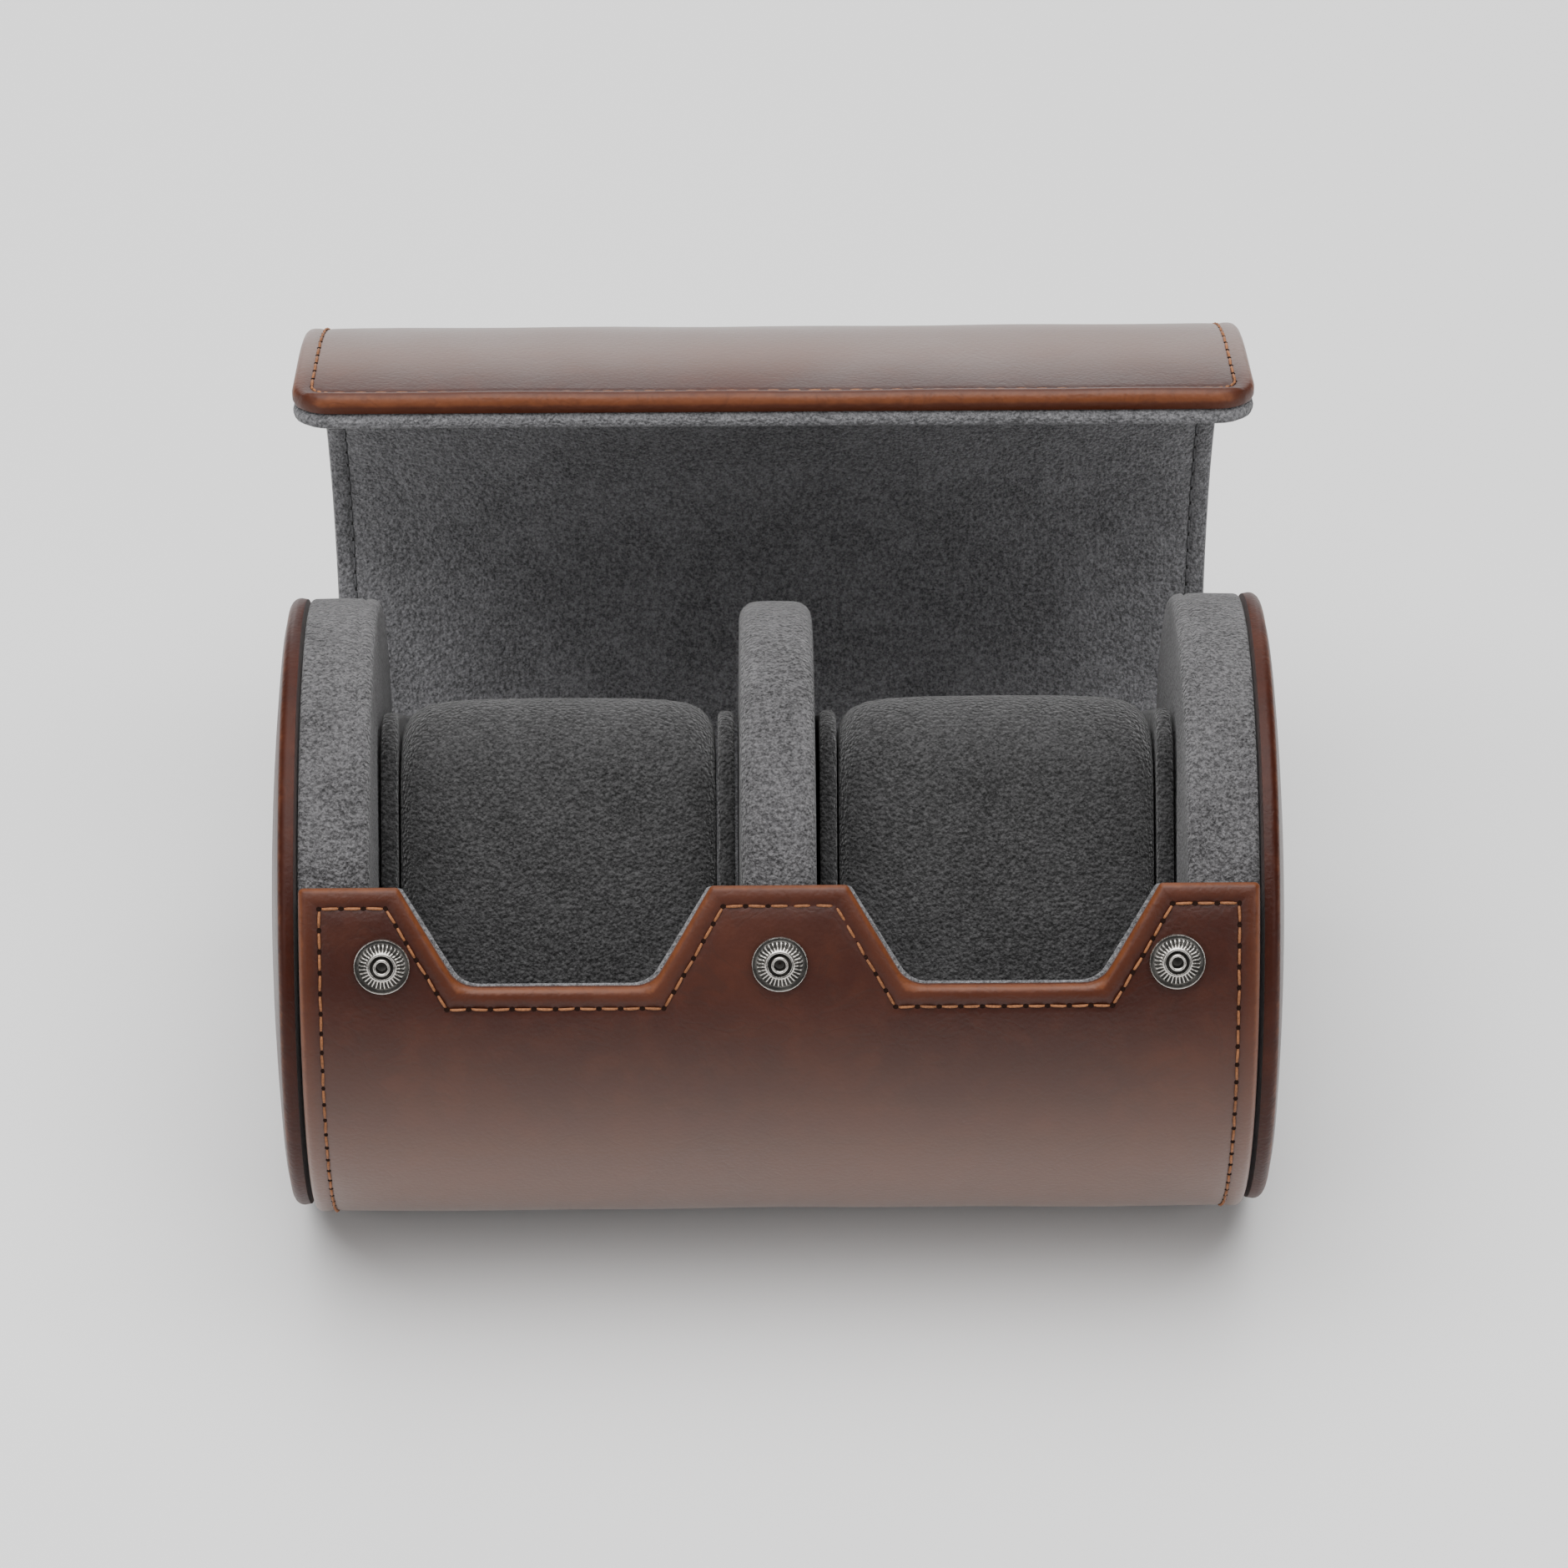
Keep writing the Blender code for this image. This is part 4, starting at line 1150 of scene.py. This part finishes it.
class WATCHROLL_OT_cushions(bpy.types.Operator):
    """A soft suede pillow between two thin plates in each bay"""

    bl_idname = "watch_roll.cushions"
    bl_label = "Cushions"

    def execute(self, context):
        s = sizes()
        wall = Wall()
        inner = s.divider_thickness / 2.0 + BAY_GAP
        outer = s.wrap_half + PAD_GAP - s.pad_thickness - BAY_GAP
        for side, name in SIDES:
            self.add_plate(wall, side, name, "inner", inner)
            self.add_plate(wall, side, name, "outer", outer - PLATE)
            self.add_pillow(wall, side, name, inner + PLATE, outer - PLATE)
        return {"FINISHED"}

    def add_plate(self, wall, side, name, place, near):
        radius = sizes().roll_radius - PAD_DEPTH
        first, last = -math.acos(-PLATE_FRONT / radius), math.asin(PLATE_TOP / radius)
        section = []
        for step in range(49):
            angle = first + (last - first) * step / 48
            section.append(Vector((math.cos(angle), math.sin(angle))) * radius)
        corner = [section[-1], Vector((-PLATE_FRONT, PLATE_TOP)), section[0]]
        section += corner_arc(corner, 1, PLATE_ROUNDING, 8)
        rings = []
        for share, shrink in (
            (0.0, 0.0012), (0.06, 0.0006), (0.2, 0.00015), (0.5, 0.0),
            (0.8, 0.00015), (0.94, 0.0006), (1.0, 0.0012),
        ):
            pulled = [point * (1.0 - shrink / point.length) for point in section]
            x = side * (near + PLATE * share)
            rings.append(mouth_ring(wall, x, pulled, PAD_DEPTH + shrink))
        obj = loft(name + "_" + place + "_plate", rings)
        self.finish(obj, name + "_cushion_plate_" + place, 1.0)

    def add_pillow(self, wall, side, name, near, far):
        near, far = near + PILLOW_GAP, far - PILLOW_GAP
        section = round_polygon([Vector(point) for point in PILLOW_CORNERS], PILLOW_ROUNDING, 12)
        middle = Vector(PILLOW_MIDDLE)
        half = [
            (0.0, 0.30), (0.0, 0.66), (0.002, 0.80), (0.010, 0.855), (0.026, 0.900),
            (0.050, 0.941), (0.090, 0.970), (0.16, 0.988), (0.28, 0.997), (0.5, 1.0),
        ]
        rings = []
        for share, size in half + [(1.0 - share, size) for share, size in half[-2::-1]]:
            points = [middle + (point - middle) * size for point in section]
            rings.append(mouth_ring(wall, side * (near + (far - near) * share), points, PAD_DEPTH))
        obj = loft(name + "_pillow", rings)
        self.finish(obj, name + "_cushion_pillow", 0.8)

    def finish(self, obj, node, fill):
        smooth(obj, 60.0)
        finish_piece(obj, "brushed_cushion", "cushion_suede", BODY, node)


# Snaps


def no_flutes(radius, step):
    return 0.0


def turned(name, profile, segments, matrix, flute=no_flutes):
    """A turned piece on a matrix's local Z, from rows of radius, height and hollow, 0 to 1.

    Lengths in the rows are in hundredths of a millimetre. The flute function tells how far each
    point lies down in a flute, from 0 to 1. Both the hollow values and the flutes darken the
    metal's colour there as painted shade.
    """
    rings, hollow_shade = [], []
    for radius, height, depth in profile:
        radius, height = radius * HUNDREDTH_MM, height * HUNDREDTH_MM
        ring = []
        for step, (x, y) in enumerate(circle(segments)):
            sunk = flute(radius, step)
            ring.append(Vector((radius * x, radius * y, height - FLUTE_DEPTH * sunk)))
            hollow_shade.append(max(depth, sunk))
        rings.append(ring)
    obj = loft(name, rings)
    set_attribute(obj, "hollow_shade", hollow_shade)
    obj.data.transform(matrix)
    return obj


class WATCHROLL_OT_snaps(bpy.types.Operator):
    """Three fluted snap studs on the tabs and three sockets inside the lid"""

    bl_idname = "watch_roll.snaps"
    bl_label = "Snaps"

    # Rows of the stud and the socket: radius and height in hundredths of a millimetre, and painted
    # shade in the hollows, 0 to 1
    STUD = (
        (70, -270, 0.0), (130, -270, 0.0), (130, -30, 0.0), (420, -28, 0.4), (452, -10, 0.2),
        (458, 20, 0.0), (457, 52, 0.0), (451, 66, 0.0), (442, 68, 0.0), (434, 56, 0.3),
        (426, 26, 1.0), (400, 22, 1.0), (378, 34, 0.9), (362, 56, 0.2), (340, 66, 0.0),
        (300, 74, 0.0), (262, 86, 0.0), (246, 94, 0.0), (232, 112, 0.0), (216, 118, 0.0),
        (198, 112, 0.0), (188, 86, 0.5), (182, 46, 1.0), (160, 42, 1.0), (150, 56, 0.8),
        (146, 104, 0.1), (138, 132, 0.0), (122, 142, 0.0), (104, 138, 0.0), (92, 120, 0.4),
        (86, 80, 1.0), (80, 0, 1.0), (10, -20, 1.0),
    )
    SOCKET = (
        (40, -65, 0.0), (460, -65, 0.0), (482, -75, 0.0), (490, -100, 0.0), (490, -210, 0.0),
        (478, -236, 0.0), (450, -245, 0.0), (360, -245, 0.1), (325, -235, 0.3),
        (310, -210, 0.8), (305, -130, 1.0), (290, -125, 1.0), (140, -120, 0.7), (20, -120, 0.6),
    )

    def execute(self, context):
        wall = Wall()
        names = ("left", "middle", "right")

        def flutes(radius, step):
            return 1.0 if FLUTE_START < radius < FLUTE_END and step % 4 in (0, 1) else 0.0

        for name, (x, distance) in zip(names, snap_places(wall)):
            matrix = wall.frame(x, distance) @ Matrix.Translation((0.0, 0.0, STUD_RISE))
            obj = turned(name + "_fluted_stud", self.STUD, 128, matrix, flutes)
            smooth(obj, 50.0)
            finish_piece(obj, "snap_nickel", "nickel", BODY, name + "_stud")
        for name, (x, distance) in zip(names, snap_places(wall, lid=True)):
            matrix = wall.frame(x, distance, SOCKET_DEPTH)
            obj = turned(name + "_turned_socket", self.SOCKET, 64, matrix)
            smooth(obj, 50.0)
            finish_piece(obj, "snap_nickel", "nickel", LID, name + "_socket")
            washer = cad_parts[name + "_stud_washer"]
            washer.data.materials.clear()
            washer.data.materials.append(material("snap_nickel"))
        return {"FINISHED"}


# Stage: floor, lights and camera


class WATCHROLL_OT_stage(bpy.types.Operator):
    """Pale floor, soft studio light, and the camera at the picture's viewing angle"""

    bl_idname = "watch_roll.stage"
    bl_label = "Stage"

    def execute(self, context):
        self.add_floor()
        self.add_lights()
        self.add_camera()
        return {"FINISHED"}

    def add_floor(self):
        plane = bpy.ops.mesh.primitive_plane_add
        floor = added(plane, size=8.0, location=(0.0, 0.0, -0.0002))
        floor.name = "studio_floor"
        bpy.ops.object.transform_apply(location=True, rotation=False, scale=False)
        floor.data.materials.append(material("studio_floor"))

    def add_lights(self):
        world = bpy.context.scene.world or bpy.data.worlds.new("studio")
        bpy.context.scene.world = world
        world.use_nodes = True
        background = world.node_tree.nodes["Background"]
        background.inputs["Color"].default_value = (1.0, 1.0, 1.0, 1.0)
        background.inputs["Strength"].default_value = SURROUNDINGS
        for name, (place, target, size, power) in LIGHTS.items():
            aim = (Vector(target) - Vector(place)).to_track_quat("-Z", "Y").to_euler()
            light = added(bpy.ops.object.light_add, type="AREA", location=place, rotation=aim)
            light.name = light.data.name = name
            light.data.size = size
            light.data.energy = power

    def add_camera(self):
        level = Vector((-math.sin(CAMERA_TURN), math.cos(CAMERA_TURN), 0.0))
        view = level * math.cos(CAMERA_ELEVATION)
        view.z = -math.sin(CAMERA_ELEVATION)
        right = view.cross(Vector((0.0, 0.0, 1.0))).normalized()
        up = right.cross(view)
        matrix = Matrix((right, up, -view)).transposed().to_4x4()
        offset = right * CAMERA_RIGHT + up * CAMERA_UP - view * CAMERA_AWAY
        matrix.translation = Wall().middle + offset
        camera = added(bpy.ops.object.camera_add)
        camera.name = "camera"
        camera.matrix_world = matrix
        camera.data.sensor_width = SENSOR
        camera.data.lens = SENSOR * FOCAL_PIXELS / PICTURE_PIXELS
        camera.data.clip_end = 50.0
        bpy.context.scene.camera = camera


STEPS = ("stage", "wrap", "lining", "stitching", "pads", "caps", "cushions", "snaps")


class WATCHROLL_PT_panel(bpy.types.Panel):
    bl_label = "Watch Roll"
    bl_idname = "WATCHROLL_PT_panel"
    bl_space_type = "VIEW_3D"
    bl_region_type = "UI"
    bl_category = "Watch Roll"

    def draw(self, context):
        for step in STEPS:
            self.layout.operator("watch_roll." + step)
        for group in (sizes(), colours()):
            box = self.layout.box()
            for name in group.__annotations__:
                box.prop(group, name)


CLASSES = (
    WATCHROLL_PG_sizes,
    WATCHROLL_PG_colours,
    WATCHROLL_OT_stage,
    WATCHROLL_OT_wrap,
    WATCHROLL_OT_lining,
    WATCHROLL_OT_stitching,
    WATCHROLL_OT_pads,
    WATCHROLL_OT_caps,
    WATCHROLL_OT_cushions,
    WATCHROLL_OT_snaps,
    WATCHROLL_PT_panel,
)


def register():
    for cls in CLASSES:
        bpy.utils.register_class(cls)
    bpy.types.Scene.watch_roll_sizes = bpy.props.PointerProperty(type=WATCHROLL_PG_sizes)
    bpy.types.Scene.watch_roll_colours = bpy.props.PointerProperty(type=WATCHROLL_PG_colours)


def unregister():
    del bpy.types.Scene.watch_roll_sizes
    del bpy.types.Scene.watch_roll_colours
    for cls in reversed(CLASSES):
        bpy.utils.unregister_class(cls)


def main():
    register()
    for step in STEPS:
        getattr(bpy.ops.watch_roll, step)()


if __name__ == "__main__":
    main()
